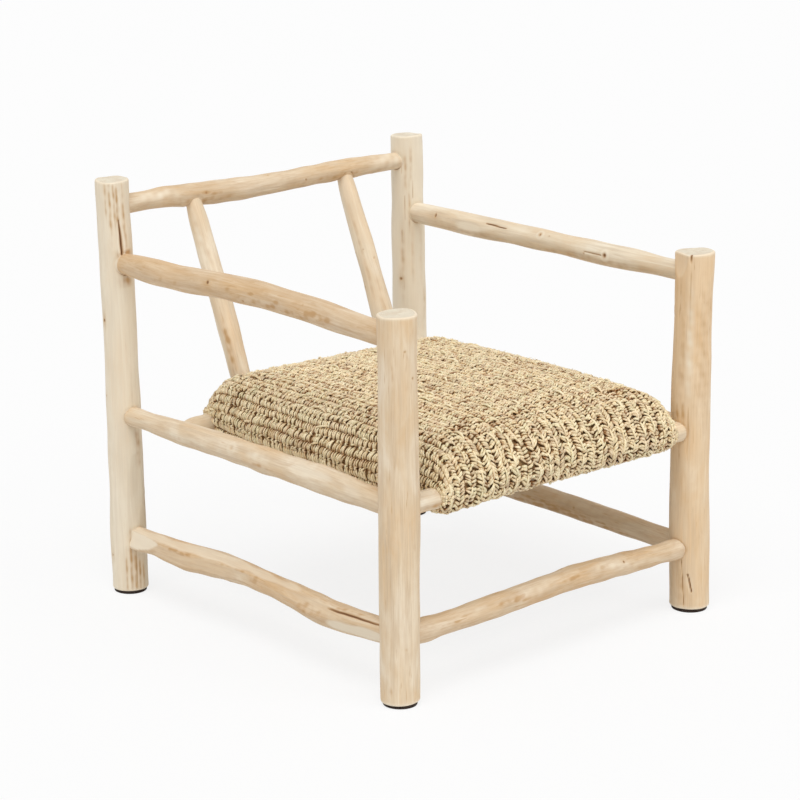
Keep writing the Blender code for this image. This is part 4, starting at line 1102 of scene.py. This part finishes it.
def fill_cushion(context, stuffing, cushion):
    """Blow the stuffing up against its cloth for a few frames and keep the result."""
    scene = context.scene
    remesh = stuffing.modifiers.new("even_cells", "REMESH")
    remesh.mode = "VOXEL"
    remesh.voxel_size = cushion.cloth_cell
    apply_modifiers(context, stuffing)
    rest = np.empty(len(stuffing.data.vertices) * 3, dtype=np.float32)
    stuffing.data.vertices.foreach_get("co", rest)
    rest = rest.reshape(-1, 3)
    held = stuffing.vertex_groups.new(name="held")
    held.add([int(i) for i in np.flatnonzero(rest[:, 2] < SEAT_HELD_LEVEL)], 1.0, "REPLACE")
    cloth = stuffing.modifiers.new("fill", "CLOTH")
    cloth.settings.vertex_group_mass = held.name
    cloth.settings.use_pressure = True
    cloth.settings.uniform_pressure_force = cushion.pressure
    for field, level in CLOTH.items():
        setattr(cloth.settings, field, level)
    cloth.settings.effector_weights.gravity = 0.0
    cloth.collision_settings.use_collision = False
    cloth.point_cache.frame_start, cloth.point_cache.frame_end = 1, cushion.frames
    for step in range(1, cushion.frames + 1):
        scene.frame_set(step)
    apply_modifiers(context, stuffing)
    scene.frame_set(1)
    filled = np.empty(rest.size, dtype=np.float32)
    stuffing.data.vertices.foreach_get("co", filled)
    move = filled.reshape(-1, 3) - rest
    far = np.linalg.norm(move, axis=1, keepdims=True)
    move *= np.minimum(1.0, cushion.swell / np.maximum(far, 1e-9))
    stuffing.data.vertices.foreach_set("co", (rest + move).astype(np.float32).ravel())
    stuffing.data.update()


def apply_modifiers(context, piece):
    """Put a piece's modifiers into its mesh."""
    depsgraph = context.evaluated_depsgraph_get()
    mesh = bpy.data.meshes.new_from_object(piece.evaluated_get(depsgraph))
    old = piece.data
    piece.modifiers.clear()
    piece.data = mesh
    bpy.data.meshes.remove(old)
    mesh.name = piece.name


def add_stuffing(context):
    """The stuffed lining, filled as cloth, which shows between the stitches; its darker tan is partly painted
    shade there.
    """
    cushion = context.scene.armchair_cushion
    form = SeatForm(cushion, cushion.cover + cushion.start)
    stuffing = bpy.data.objects.new("seat_stuffing", pillow_mesh(form))
    context.scene.collection.objects.link(stuffing)
    fill_cushion(context, stuffing, cushion)
    stuffing.data.shade_smooth()
    stuffing.data.materials.clear()
    stuffing.data.materials.append(once("lining_with_painted_shade", lining_cloth_and_shade, cushion))
    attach(stuffing, BODY)
    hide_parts("seat_pad")


# Rows are worked in pairs: each row of a pair starts at a ridge on its outer side and shares an open edge
# with the other row. One stitch, from the ridge to the open edge: for each strand its four control points
# as share of the pitch along the row, share of the row's width across it, and millimetres off the lining.
STITCH = {
    "near": ((0.04, -0.04, 1.2), (0.02, 0.30, 7.0), (0.18, 0.72, 7.4), (0.29, 1.01, 0.4)),
    "far": ((0.54, -0.04, 1.2), (0.55, 0.30, 7.0), (0.52, 0.72, 7.4), (0.47, 1.01, 0.4)),
    "bead": ((0.64, 0.82, 1.0), (0.34, 0.90, 8.6), (0.34, 1.10, 8.6), (0.64, 1.18, 1.0)),
}
# The same on the front and back rolls, where the rows are drawn out.
ROLL_STITCH = {
    "near": ((0.10, 0.00, 2.0), (0.04, 0.22, 8.0), (0.06, 0.64, 8.2), (0.20, 0.90, 0.8)),
    "far": ((0.60, 0.00, 2.0), (0.56, 0.22, 8.0), (0.56, 0.64, 8.2), (0.50, 0.90, 0.8)),
    "bead": ((0.64, 0.76, 1.0), (0.30, 0.88, 8.8), (0.30, 1.12, 8.8), (0.64, 1.24, 1.0)),
}
STITCH_SHARE = {"near": 1.0, "far": 1.0, "bead": 0.80}
FLATTENED = 0.20
ROLL_PITCH = 1.10
SIDE_ROW = 1.20
SIDE_STRAND = 0.97
ROLL_STRAND = 1.26
TOP_STRAND = 1.15
ROLL_LEAN = 1.5
FORWARD_SHARE = 0.8
STITCH_STRAY = np.array((0.070, 0.050, 0.60))
TONE, TONE_SPREAD = 0.46, 0.12
# Painted light and shade by facing: strands on the steep sides are painted lighter, those on the front and
# back rolls and on the top darker.
SIDE_PAINTED_LIGHT, ROLL_PAINTED_SHADE, TOP_PAINTED_SHADE = 0.30, 0.14, 0.10
LAY_STEP, LAY_APART = 0.004, 0.013
# Height off the lining where strand tops get the painted highlight; points lower down get painted shade.
COVER_TOP = 0.0060
STRAND_STEPS = 6
STRAND_SIDE = np.array((-0.5, -0.29, 0.27, 0.5, 0.25, -0.25))
STRAND_RISE = np.array((0.0, 0.44, 0.42, 0.0, -0.40, -0.40))
RIDGE_STEPS = 9
PIECE_STRANDS = 2400


class Weave:
    """Rows and stitches laid over the cushion's form."""

    def __init__(self, context):
        self.raffia, self.cushion = context.scene.armchair_raffia, context.scene.armchair_cushion
        self.form = SeatForm(self.cushion, self.cushion.cover)
        sides = -np.cos(np.linspace(0, math.pi, 600))
        across = self.form.point(sides, np.full(600, 0.5))
        reach = self.paced(travel(across), across[:, 2], SIDE_ROW)
        self.rows = 2 * int(round(reach[-1] / self.raffia.row / 2))
        self.row_sides = np.interp(np.linspace(0, reach[-1], 40 * self.rows + 1), reach, sides)
        self.row_marks = np.linspace(0, self.rows, 40 * self.rows + 1)
        loops = np.linspace(0, 2, 2001)
        around = self.form.point(np.zeros(2001), loops)
        reach = self.paced(travel(around), around[:, 2], ROLL_PITCH)
        self.stitches = int(round(reach[-1] / self.raffia.pitch))
        self.loop_marks, self.loops = reach / reach[-1] * self.stitches, loops
        stuffing = bpy.data.objects["seat_stuffing"].data
        self.ground = BVHTree.FromPolygons([vertex.co for vertex in stuffing.vertices],
                                           [polygon.vertices for polygon in stuffing.polygons])

    def paced(self, reach, heights, stretch):
        """Lengths counted shorter where the stitches are drawn out, below the seat's top."""
        high = heights[1:] > self.form.level + 0.7 * self.cushion.rise
        return np.r_[0.0, np.cumsum(np.diff(reach) * np.where(high, 1.0, 1 / stretch))]

    def place(self, row, stitch):
        """Points on the form at rows across and stitches along."""
        side = np.interp(row, self.row_marks, self.row_sides)
        loop = np.interp(np.mod(stitch, self.stitches), self.loop_marks, self.loops)
        return self.form.point(side, loop)

    def way(self, row, stitch):
        """Points on the form, and the way out of it there."""
        ahead = self.place(row, stitch + 0.15) - self.place(row, stitch - 0.15)
        right, left = np.minimum(row + 0.1, self.rows), np.maximum(row - 0.1, 0)
        aside = self.place(right, stitch) - self.place(left, stitch)
        return self.place(row, stitch), unit(np.cross(ahead, aside))

    def lay(self, row, stitch, lift):
        """Points off the stuffing's cloth, and the way out of it there."""
        spot, out = self.way(row, stitch)
        flat_spot, flat_out = spot.reshape(-1, 3), out.reshape(-1, 3)
        for i in range(len(flat_spot)):
            way = Vector(flat_out[i])
            hit = self.ground.ray_cast(Vector(flat_spot[i]) + way * 0.03, -way, 0.06)[0]
            if hit:
                flat_spot[i] = hit
        return spot + out * lift[..., None], out

    def flat(self, row, stitch):
        """1 on the pressed top of the seat, 0 on its sides."""
        return np.clip((self.way(row, stitch)[1][..., 2] - 0.80) / 0.15, 0.0, 1.0)

    def rolled(self, row, stitch):
        """1 on the front and back rolls, 0 on the top and the sides."""
        return np.clip((np.abs(self.way(row, stitch)[1][..., 1]) - 0.25) / 0.30, 0.0, 1.0)

    def sway(self, row, stitch):
        """How far the uneven rows stray from their line, in rows."""
        return self.raffia.loose * (0.08 * np.sin(0.21 * stitch + 0.9 * row + 0.4)
                                    + 0.06 * np.sin(0.53 * stitch - 0.6 * row + 2.1))


def travel(points):
    return np.r_[0.0, np.cumsum(np.linalg.norm(np.diff(points, axis=0), axis=1))]


def curve(controls, steps):
    """Points along smooth curves given by four control points each."""
    t = np.linspace(0, 1, steps)
    weights = np.stack(((1 - t) ** 3, 3 * t * (1 - t) ** 2, 3 * t ** 2 * (1 - t), t ** 3))
    return np.einsum("kt,skc->stc", weights, controls)


class Strands:
    """A growing set of strands that end up as a few pieces of the cover."""

    def __init__(self):
        self.stores = [[] for _ in range(8)]

    def add(self, *columns):
        """Points, ways out, lifts, widths, depths, rolls, tints and hues of some strands."""
        for store, column in zip(self.stores, columns, strict=True):
            store.append(column)

    def pieces(self, label, material, size, replaced):
        merged = [np.concatenate(store) for store in self.stores]
        count = math.ceil(len(merged[0]) / size)
        for number, chosen in enumerate(np.array_split(np.arange(len(merged[0])), count), 1):
            name = f"{label}_{number}"
            mesh = strand_mesh(name, *(values[chosen] for values in merged))
            add_piece(name, mesh, material, replaced if number == 1 else ())


def strand_mesh(name, points, outs, lifts, widths, depths, rolls, tints, hues):
    """Bunched strands: a rounded six-sided section carried along each curve."""
    count, steps = points.shape[:2]
    ways = unit(np.gradient(points, axis=1))
    sides = unit(np.cross(ways, outs))
    ups = np.cross(sides, ways)
    turn = (rolls[:, :1] + (rolls[:, 1:] - rolls[:, :1]) * np.linspace(0, 1, steps))[..., None]
    sides, ups = sides * np.cos(turn) + ups * np.sin(turn), ups * np.cos(turn) - sides * np.sin(turn)
    taper = 0.56 + 0.44 * np.sin(np.linspace(0, math.pi, steps))
    across_strand = widths[:, None, None] * taper[None, :, None] * STRAND_SIDE
    up_strand = depths[:, None, None] * np.sqrt(taper)[None, :, None] * STRAND_RISE
    body = (points[:, :, None, :] + sides[:, :, None, :] * across_strand[..., None]
            + ups[:, :, None, :] * up_strand[..., None])
    ring = len(STRAND_SIDE)
    index = np.arange(count * steps * ring).reshape(count, steps, ring)
    after = np.roll(index, -1, axis=2)
    quads = np.stack((index[:, :-1], index[:, 1:], after[:, 1:], after[:, :-1]), axis=3).reshape(-1, 4)
    mesh = build_mesh(name, body.reshape(-1, 3), (quads, index[:, 0], index[:, -1, ::-1]))
    # How far each point sits below the cover's top, which drives the strands' painted shade and painted
    # highlight.
    add_values(mesh, "dip_shade", np.clip(1 - (lifts[:, :, None] + up_strand) / COVER_TOP, 0.0, 1.0).ravel())
    add_values(mesh, "tint", np.repeat(tints, steps * ring))
    add_values(mesh, "hue", np.repeat(hues, steps * ring))
    along = np.arange(steps)[None, :, None] * LAY_STEP
    apart = np.arange(count)[:, None, None] * LAY_APART
    lay = np.stack(np.broadcast_arrays(across_strand, along, apart), axis=3)
    add_values(mesh, "lay", lay.reshape(-1, 3))
    add_layout(mesh, strand_layout(count, steps, ring))
    return mesh


def strand_layout(count, steps, ring):
    """Places on the colour map: each strand unrolled in a cell of its own."""
    grid = math.ceil(math.sqrt(count))
    number = np.arange(count)
    cell = np.stack((number % grid, number // grid), axis=1)[:, None, None, None, :]
    step, side = np.meshgrid(np.arange(steps - 1), np.arange(ring), indexing="ij")
    corners = np.stack([np.stack((step + dx, side + dy), axis=2) for dx, dy in QUAD], axis=2)[None]
    corners = corners / np.array((steps - 1, ring))
    walls = (cell + 0.08 + 0.84 * corners) / grid
    rim = np.arange(ring) / ring
    first = (cell[:, 0, 0] + 0.08 + 0.84 * np.stack((np.zeros(ring), rim), axis=1)) / grid
    last = (cell[:, 0, 0] + 0.08 + 0.84 * np.stack((np.ones(ring), rim[::-1]), axis=1)) / grid
    return np.vstack((walls.reshape(-1, 2), first.reshape(-1, 2), last.reshape(-1, 2)))


def clear_of_spindles(points):
    """True for strands that don't run through a back spindle."""
    clear = np.ones(len(points), dtype=bool)
    for name in SPINDLES:
        source = limb(name)
        for centre, radius in zip(source.centres[::3], source.thickness[::3]):
            clear &= np.linalg.norm(points - centre, axis=2).min(1) > radius
    return clear


def crochet(context):
    """Pair after pair of rows, front to back over the cushion."""
    weave, raffia = Weave(context), context.scene.armchair_raffia
    rng = np.random.default_rng(raffia.seed)
    strands = Strands()
    row, stitch = (grid.ravel() for grid in np.meshgrid(np.arange(weave.rows), np.arange(weave.stitches),
                                                        indexing="ij"))
    count, pair, turned = len(row), row // 2, row % 2 == 1
    pairs = weave.rows // 2
    phase, shade = rng.uniform(0, 1, pairs)[pair], rng.normal(0, 0.08, weave.rows)[row]
    forward = rng.uniform(0, 1, pairs) < FORWARD_SHARE
    lean = np.where(forward, rng.normal(0.42, 0.14, pairs), rng.normal(-0.2, 0.2, pairs))
    lean = lean[pair] + rng.normal(0, 0.12, count)
    flat = weave.flat(row + 0.5, stitch + 0.5)
    loose = (raffia.loose * (1 + 0.3 * flat))[:, None, None]
    rolled = weave.rolled(row + 0.5, stitch + 0.5)
    lean = lean * (1 + (ROLL_LEAN - 1) * rolled)
    steep = (1 - flat) * (1 - rolled)
    broad = 1 + (ROLL_STRAND - 1) * rolled + (TOP_STRAND - 1) * flat - (1 - SIDE_STRAND) * steep
    tall = rng.normal(1.0, 0.12, count)
    tone = rng.normal(TONE, TONE_SPREAD, count) + shade
    # Painted light and shade: lighter on the steep sides, darker on the rolls and the top.
    tone = tone + SIDE_PAINTED_LIGHT * steep - ROLL_PAINTED_SHADE * rolled - TOP_PAINTED_SHADE * flat
    for name, template in ROLL_STITCH.items():
        plain = np.array(STITCH[name])
        control = plain + rolled[:, None, None] * (template - plain)
        control += rng.normal(0, 1, control.shape) * STITCH_STRAY * loose
        control[..., 2] *= tall[:, None]
        path = curve(control, STRAND_STEPS)
        lift = path[..., 2] / 1000
        up_row = np.where(turned[:, None], 1 - path[..., 1], path[..., 1])
        along_row = (stitch + phase)[:, None] + path[..., 0] - lean[:, None] * (1 - np.abs(1 - path[..., 1]))
        across_row = row[:, None] + up_row
        across_row = np.clip(across_row + weave.sway(across_row, along_row), 0.0, weave.rows)
        points, outs = weave.lay(across_row, along_row, lift * (1 - FLATTENED * flat)[:, None])
        kept = clear_of_spindles(points) & (rng.uniform(0, 1, count) < STITCH_SHARE[name])
        if name == "bead":
            kept &= ~turned
        width = raffia.strand * rng.uniform(0.80, 1.20, count) * broad
        depth = raffia.depth * rng.uniform(0.8, 1.2, count)
        rolls = rng.normal(0, 0.25, (count, 2))
        tint = np.clip(tone + rng.normal(0, 0.28, count), 0, 1)
        values = (points, outs, lift, width, depth, rolls, tint, rng.uniform(0, 1, count))
        strands.add(*(value[kept] for value in values))
    add_grains(weave, rng, strands, row, stitch, flat)
    material = once("crochet_straw", crochet_straw, raffia)
    strands.pieces("raffia_rows", material, PIECE_STRANDS, ("raffia_cover",))


def add_grains(weave, rng, strands, row, stitch, flat):
    """Short strokes in all directions that blur the rows, most of them on the pressed top."""
    raffia = weave.raffia
    chosen = rng.uniform(0, 1, len(row)) < 0.08 + 0.02 * flat
    count = int(chosen.sum())
    turn, reach = rng.uniform(0, 2 * math.pi, count), rng.uniform(0.7, 1.2, count)
    steps = np.array((-0.5, -0.22, 0.22, 0.5))
    control = rng.normal(0, 0.05, (count, 4, 3))
    control[..., 0] += (np.cos(turn) * reach)[:, None] * steps
    control[..., 1] += (np.sin(turn) * reach)[:, None] * steps * raffia.pitch / raffia.row
    control[..., 2] += np.array((0.4, 7.0, 7.0, 0.4)) * rng.uniform(0.85, 1.1, (count, 1))
    path = curve(control, STRAND_STEPS)
    across_row = row[chosen][:, None] + rng.uniform(0, 1, (count, 1)) + path[..., 1]
    along_row = stitch[chosen][:, None] + rng.uniform(0, 1, (count, 1)) + path[..., 0]
    lift = path[..., 2] / 1000
    points, outs = weave.lay(np.clip(across_row, 0.0, weave.rows), along_row, lift)
    kept = clear_of_spindles(points)
    width, depth = raffia.strand * rng.uniform(0.6, 1.0, count), raffia.depth * rng.uniform(0.6, 1.0, count)
    rolls, tint = rng.normal(0, 0.4, (count, 2)), np.clip(rng.normal(0.58, 0.20, count), 0, 1)
    values = (points, outs, lift, width, depth, rolls, tint, rng.uniform(0, 1, count))
    strands.add(*(value[kept] for value in values))


def add_ridges(context):
    """Long straight strands that lie on the closed side of some rows."""
    weave, raffia = Weave(context), context.scene.armchair_raffia
    rng = np.random.default_rng(raffia.seed + 2)
    runs = []
    for ridge in range(2, weave.rows, 2):
        start = rng.uniform(0, 4)
        while start < weave.stitches - 9:
            reach = rng.uniform(1.0, 3.2)
            runs.append((ridge, start, reach))
            start += reach + rng.uniform(-0.5, 0.3)
    ridge, start, reach = np.array(runs).T
    out = weave.way(ridge, start + reach / 2)[1]
    wanted = 0.22 + 0.62 * np.abs(out[:, 1]) - 0.14 * np.clip(out[:, 2], 0.0, 1.0)
    kept = rng.uniform(0, 1, len(ridge)) < wanted
    ridge, start, reach = ridge[kept, None], start[kept, None], reach[kept, None]
    part = np.linspace(0, 1, RIDGE_STEPS)[None]
    along_row = start + reach * part
    wander = rng.normal(0, 0.06, ridge.shape) + rng.normal(0, 0.24, ridge.shape) * (part - 0.5)
    across_row = np.clip(ridge + wander + weave.sway(ridge, along_row), 0.0, weave.rows)
    lift = 0.0074 * np.sin(math.pi * part) ** 0.5 + np.zeros_like(along_row)
    points, outs = weave.lay(across_row, along_row, lift)
    count = len(points)
    clear = clear_of_spindles(points)
    values = (points, outs, lift, rng.uniform(0.0034, 0.0052, count), rng.uniform(0.0034, 0.0046, count),
              rng.normal(0, 0.5, (count, 2)), rng.uniform(0.40, 1.0, count), rng.uniform(0, 1, count))
    strands = Strands()
    strands.add(*(value[clear] for value in values))
    strands.pieces("raffia_ridges", once("crochet_straw", crochet_straw, raffia), PIECE_STRANDS, ())


def add_stray_fibres(context):
    """Thin loose fibres that stick out of the crochet."""
    weave, raffia = Weave(context), context.scene.armchair_raffia
    rng = np.random.default_rng(raffia.seed + 1)
    count = raffia.fibres
    row, stitch = rng.uniform(0.3, weave.rows - 0.3, count), rng.uniform(0, weave.stitches * 0.55, count)
    turn, reach = rng.uniform(0, 2 * math.pi, count), rng.uniform(0.4, 1.3, count)
    control = np.zeros((count, 4, 3))
    steps = np.array((0.0, 0.35, 0.7, 1.0))
    control[..., 0] = np.cos(turn)[:, None] * reach[:, None] * steps + rng.normal(0, 0.08, (count, 4))
    control[..., 1] = np.sin(turn)[:, None] * reach[:, None] * steps * 0.45 + rng.normal(0, 0.04, (count, 4))
    rise = rng.uniform(0, 1, (count, 1)) * np.array((0, 0.6, 1.5, 2.8))
    control[..., 2] = np.array((1.5, 6.5, 6.8, 6.6)) + rise
    path = curve(control, STRAND_STEPS)
    across_row = np.clip(row[:, None] + path[..., 1], 0, weave.rows)
    lift = path[..., 2] / 1000
    points, outs = weave.lay(across_row, stitch[:, None] + path[..., 0], lift)
    clear = clear_of_spindles(points)
    width, depth = rng.uniform(0.0005, 0.0016, count), rng.uniform(0.0003, 0.0006, count)
    values = (points, outs, lift, width, depth, rng.normal(0, 0.5, (count, 2)), rng.uniform(0.5, 1, count),
              rng.uniform(0, 1, count))
    strands = Strands()
    strands.add(*(value[clear] for value in values))
    strands.pieces("stray_fibres", once("crochet_straw", crochet_straw, raffia), PIECE_STRANDS, ())


# Stage


def floor_white(name, stage):
    """Plain white floor that keeps a soft shadow of the chair."""
    shader = Shader(name)
    place = shader.place()
    drift = shader.noise(place, 0.6, 2.0, 0.5)
    tone = shader.ramp(drift, (0.3, darker(stage.floor, 0.99)), (0.7, stage.floor))
    shader.finish(tone, 0.9, 0.0)
    glow = shader.node("ShaderNodeEmission", {"Color": (1.0, 1.0, 1.0), "Strength": 1.0})
    lit = shader.node("ShaderNodeMixShader", {0: FLOOR_GLOW, 1: shader.surface.outputs["BSDF"], 2: glow})
    ray = shader.tree.nodes.new("ShaderNodeLightPath")
    shiny = shader.math("MAXIMUM", ray.outputs["Is Glossy Ray"], ray.outputs["Is Transmission Ray"])
    seen = shader.math("MAXIMUM", ray.outputs["Is Camera Ray"], shiny)
    pick = shader.node("ShaderNodeMixShader", {0: seen, 1: shader.surface.outputs["BSDF"], 2: lit})
    shader.tree.links.new(pick, shader.tree.nodes["Material Output"].inputs["Surface"])
    return shader.material


FLOOR_GLOW = 0.82


def add_lamp(name, aim, spread, strength):
    """A broad far lamp that shines from a place towards the chair."""
    lamp = bpy.data.lights.new(name, "SUN")
    lamp.angle, lamp.energy = spread, strength
    piece = bpy.data.objects.new(name, lamp)
    piece.location = aim
    piece.rotation_euler = Vector(aim).to_track_quat("Z", "Y").to_euler()
    bpy.context.scene.collection.objects.link(piece)
    return piece


def set_stage(context):
    """White floor and surround, soft lamps, and the camera."""
    scene, stage = context.scene, context.scene.armchair_stage
    points = np.array(((-20, -20, 0), (20, -20, 0), (20, 20, 0), (-20, 20, 0)), dtype=float)
    floor = bpy.data.objects.new("floor", build_mesh("floor", points, (np.array(((0, 1, 2, 3),)),), False))
    scene.collection.objects.link(floor)
    floor.data.materials.append(once("white_floor", floor_white, stage))
    world = bpy.data.worlds.new("white_surround")
    scene.world = world
    world.use_nodes = True
    tree = world.node_tree
    surround = tree.nodes["Background"]
    surround.inputs["Color"].default_value = (1.0, 1.0, 1.0, 1.0)
    surround.inputs["Strength"].default_value = stage.sky
    behind = tree.nodes.new("ShaderNodeBackground")
    behind.inputs["Color"].default_value = (1.0, 1.0, 1.0, 1.0)
    behind.inputs["Strength"].default_value = 1.0
    ray, pick = tree.nodes.new("ShaderNodeLightPath"), tree.nodes.new("ShaderNodeMixShader")
    seen = ray.outputs["Is Camera Ray"]
    for kind in ("Is Glossy Ray", "Is Transmission Ray"):
        either = tree.nodes.new("ShaderNodeMath")
        either.operation = "MAXIMUM"
        tree.links.new(seen, either.inputs[0])
        tree.links.new(ray.outputs[kind], either.inputs[1])
        seen = either.outputs["Value"]
    tree.links.new(seen, pick.inputs["Fac"])
    tree.links.new(surround.outputs["Background"], pick.inputs[1])
    tree.links.new(behind.outputs["Background"], pick.inputs[2])
    tree.links.new(pick.outputs["Shader"], tree.nodes["World Output"].inputs["Surface"])
    add_lamp("key_lamp", (-1.2, -0.8, 3.0), stage.spread, stage.key)
    add_lamp("fill_lamp", (1.0, -2.5, 1.6), stage.spread, stage.fill)
    camera = bpy.data.cameras.new("photo_camera")
    camera.lens, camera.sensor_width, camera.sensor_fit = stage.lens, 36.0, "HORIZONTAL"
    camera.clip_end = 100.0
    piece = bpy.data.objects.new("photo_camera", camera)
    turn, tilt = stage.azimuth, stage.elevation
    back = Vector((math.sin(turn) * math.cos(tilt), -math.cos(turn) * math.cos(tilt), math.sin(tilt)))
    piece.location = Vector(stage.aim) + back * stage.distance
    piece.rotation_euler = (math.pi / 2 - tilt, 0.0, turn)
    scene.collection.objects.link(piece)
    scene.camera = piece
    scene.view_settings.view_transform = "Standard"


# Operators


class ARMCHAIR_OT_posts(bpy.types.Operator):
    """Peel the four posts"""
    bl_idname = "armchair.posts"
    bl_label = "Posts"

    def execute(self, context):
        grow(context, POSTS, POST_SIDES, sawn=True)
        return {"FINISHED"}


class ARMCHAIR_OT_arms(bpy.types.Operator):
    """Peel the two arms"""
    bl_idname = "armchair.arms"
    bl_label = "Arms"

    def execute(self, context):
        grow(context, ARMS, BRANCH_SIDES)
        return {"FINISHED"}


class ARMCHAIR_OT_crest(bpy.types.Operator):
    """Peel the top rail of the back"""
    bl_idname = "armchair.crest"
    bl_label = "Crest rail"

    def execute(self, context):
        grow(context, CREST, BRANCH_SIDES)
        return {"FINISHED"}


class ARMCHAIR_OT_spindles(bpy.types.Operator):
    """Peel the two back spindles"""
    bl_idname = "armchair.spindles"
    bl_label = "Spindles"

    def execute(self, context):
        grow(context, SPINDLES, BRANCH_SIDES)
        return {"FINISHED"}


class ARMCHAIR_OT_seat_rails(bpy.types.Operator):
    """Peel the four rails that carry the seat"""
    bl_idname = "armchair.seat_rails"
    bl_label = "Seat rails"

    def execute(self, context):
        grow(context, SEAT_RAILS, BRANCH_SIDES)
        return {"FINISHED"}


class ARMCHAIR_OT_stretchers(bpy.types.Operator):
    """Peel the three stretchers"""
    bl_idname = "armchair.stretchers"
    bl_label = "Stretchers"

    def execute(self, context):
        grow(context, STRETCHERS, BRANCH_SIDES)
        return {"FINISHED"}


class ARMCHAIR_OT_glides(bpy.types.Operator):
    """Add the pads under the posts"""
    bl_idname = "armchair.glides"
    bl_label = "Glides"

    def execute(self, context):
        add_glides()
        return {"FINISHED"}


class ARMCHAIR_OT_pegs(bpy.types.Operator):
    """Add the pegs that lock the tenons"""
    bl_idname = "armchair.pegs"
    bl_label = "Pegs"

    def execute(self, context):
        add_pegs(context)
        return {"FINISHED"}


class ARMCHAIR_OT_slats(bpy.types.Operator):
    """Finish the boards and screws under the seat"""
    bl_idname = "armchair.slats"
    bl_label = "Slats and screws"

    def execute(self, context):
        finish_slats(context)
        return {"FINISHED"}


class ARMCHAIR_OT_stuffing(bpy.types.Operator):
    """Fill the seat's lining"""
    bl_idname = "armchair.stuffing"
    bl_label = "Stuffing"

    def execute(self, context):
        add_stuffing(context)
        return {"FINISHED"}


class ARMCHAIR_OT_crochet(bpy.types.Operator):
    """Crochet the raffia cover"""
    bl_idname = "armchair.crochet"
    bl_label = "Raffia rows"

    def execute(self, context):
        crochet(context)
        return {"FINISHED"}


class ARMCHAIR_OT_ridges(bpy.types.Operator):
    """Lay the long strands on the raffia's ridges"""
    bl_idname = "armchair.ridges"
    bl_label = "Raffia ridges"

    def execute(self, context):
        add_ridges(context)
        return {"FINISHED"}


class ARMCHAIR_OT_stray_fibres(bpy.types.Operator):
    """Add loose fibres to the raffia"""
    bl_idname = "armchair.stray_fibres"
    bl_label = "Stray fibres"

    def execute(self, context):
        add_stray_fibres(context)
        return {"FINISHED"}


class ARMCHAIR_OT_stage(bpy.types.Operator):
    """Set the floor, lamps and camera"""
    bl_idname = "armchair.stage"
    bl_label = "Stage"

    def execute(self, context):
        set_stage(context)
        return {"FINISHED"}


STEPS = (ARMCHAIR_OT_posts, ARMCHAIR_OT_arms, ARMCHAIR_OT_crest, ARMCHAIR_OT_spindles, ARMCHAIR_OT_seat_rails,
         ARMCHAIR_OT_stretchers, ARMCHAIR_OT_glides, ARMCHAIR_OT_pegs, ARMCHAIR_OT_slats, ARMCHAIR_OT_stuffing,
         ARMCHAIR_OT_crochet, ARMCHAIR_OT_ridges, ARMCHAIR_OT_stray_fibres, ARMCHAIR_OT_stage)
SETTINGS = {"armchair_wood": WoodSettings, "armchair_cushion": CushionSettings,
            "armchair_raffia": RaffiaSettings, "armchair_stage": StageSettings}


class ARMCHAIR_PT_panel(bpy.types.Panel):
    """Steps and settings of the armchair"""
    bl_idname = "ARMCHAIR_PT_panel"
    bl_label = "Armchair"
    bl_space_type = "VIEW_3D"
    bl_region_type = "UI"
    bl_category = "Armchair"

    def draw(self, context):
        for step in STEPS:
            self.layout.operator(step.bl_idname)
        for name, kind in SETTINGS.items():
            box = self.layout.box()
            for field in kind.__annotations__:
                box.prop(getattr(context.scene, name), field)


CLASSES = (*SETTINGS.values(), *STEPS, ARMCHAIR_PT_panel)


def register():
    for kind in CLASSES:
        bpy.utils.register_class(kind)
    for name, kind in SETTINGS.items():
        setattr(bpy.types.Scene, name, PointerProperty(type=kind))


def unregister():
    for name in SETTINGS:
        delattr(bpy.types.Scene, name)
    for kind in reversed(CLASSES):
        bpy.utils.unregister_class(kind)


def main():
    register()
    for step in STEPS:
        group, name = step.bl_idname.split(".")
        getattr(getattr(bpy.ops, group), name)()


if __name__ == "__main__":
    main()
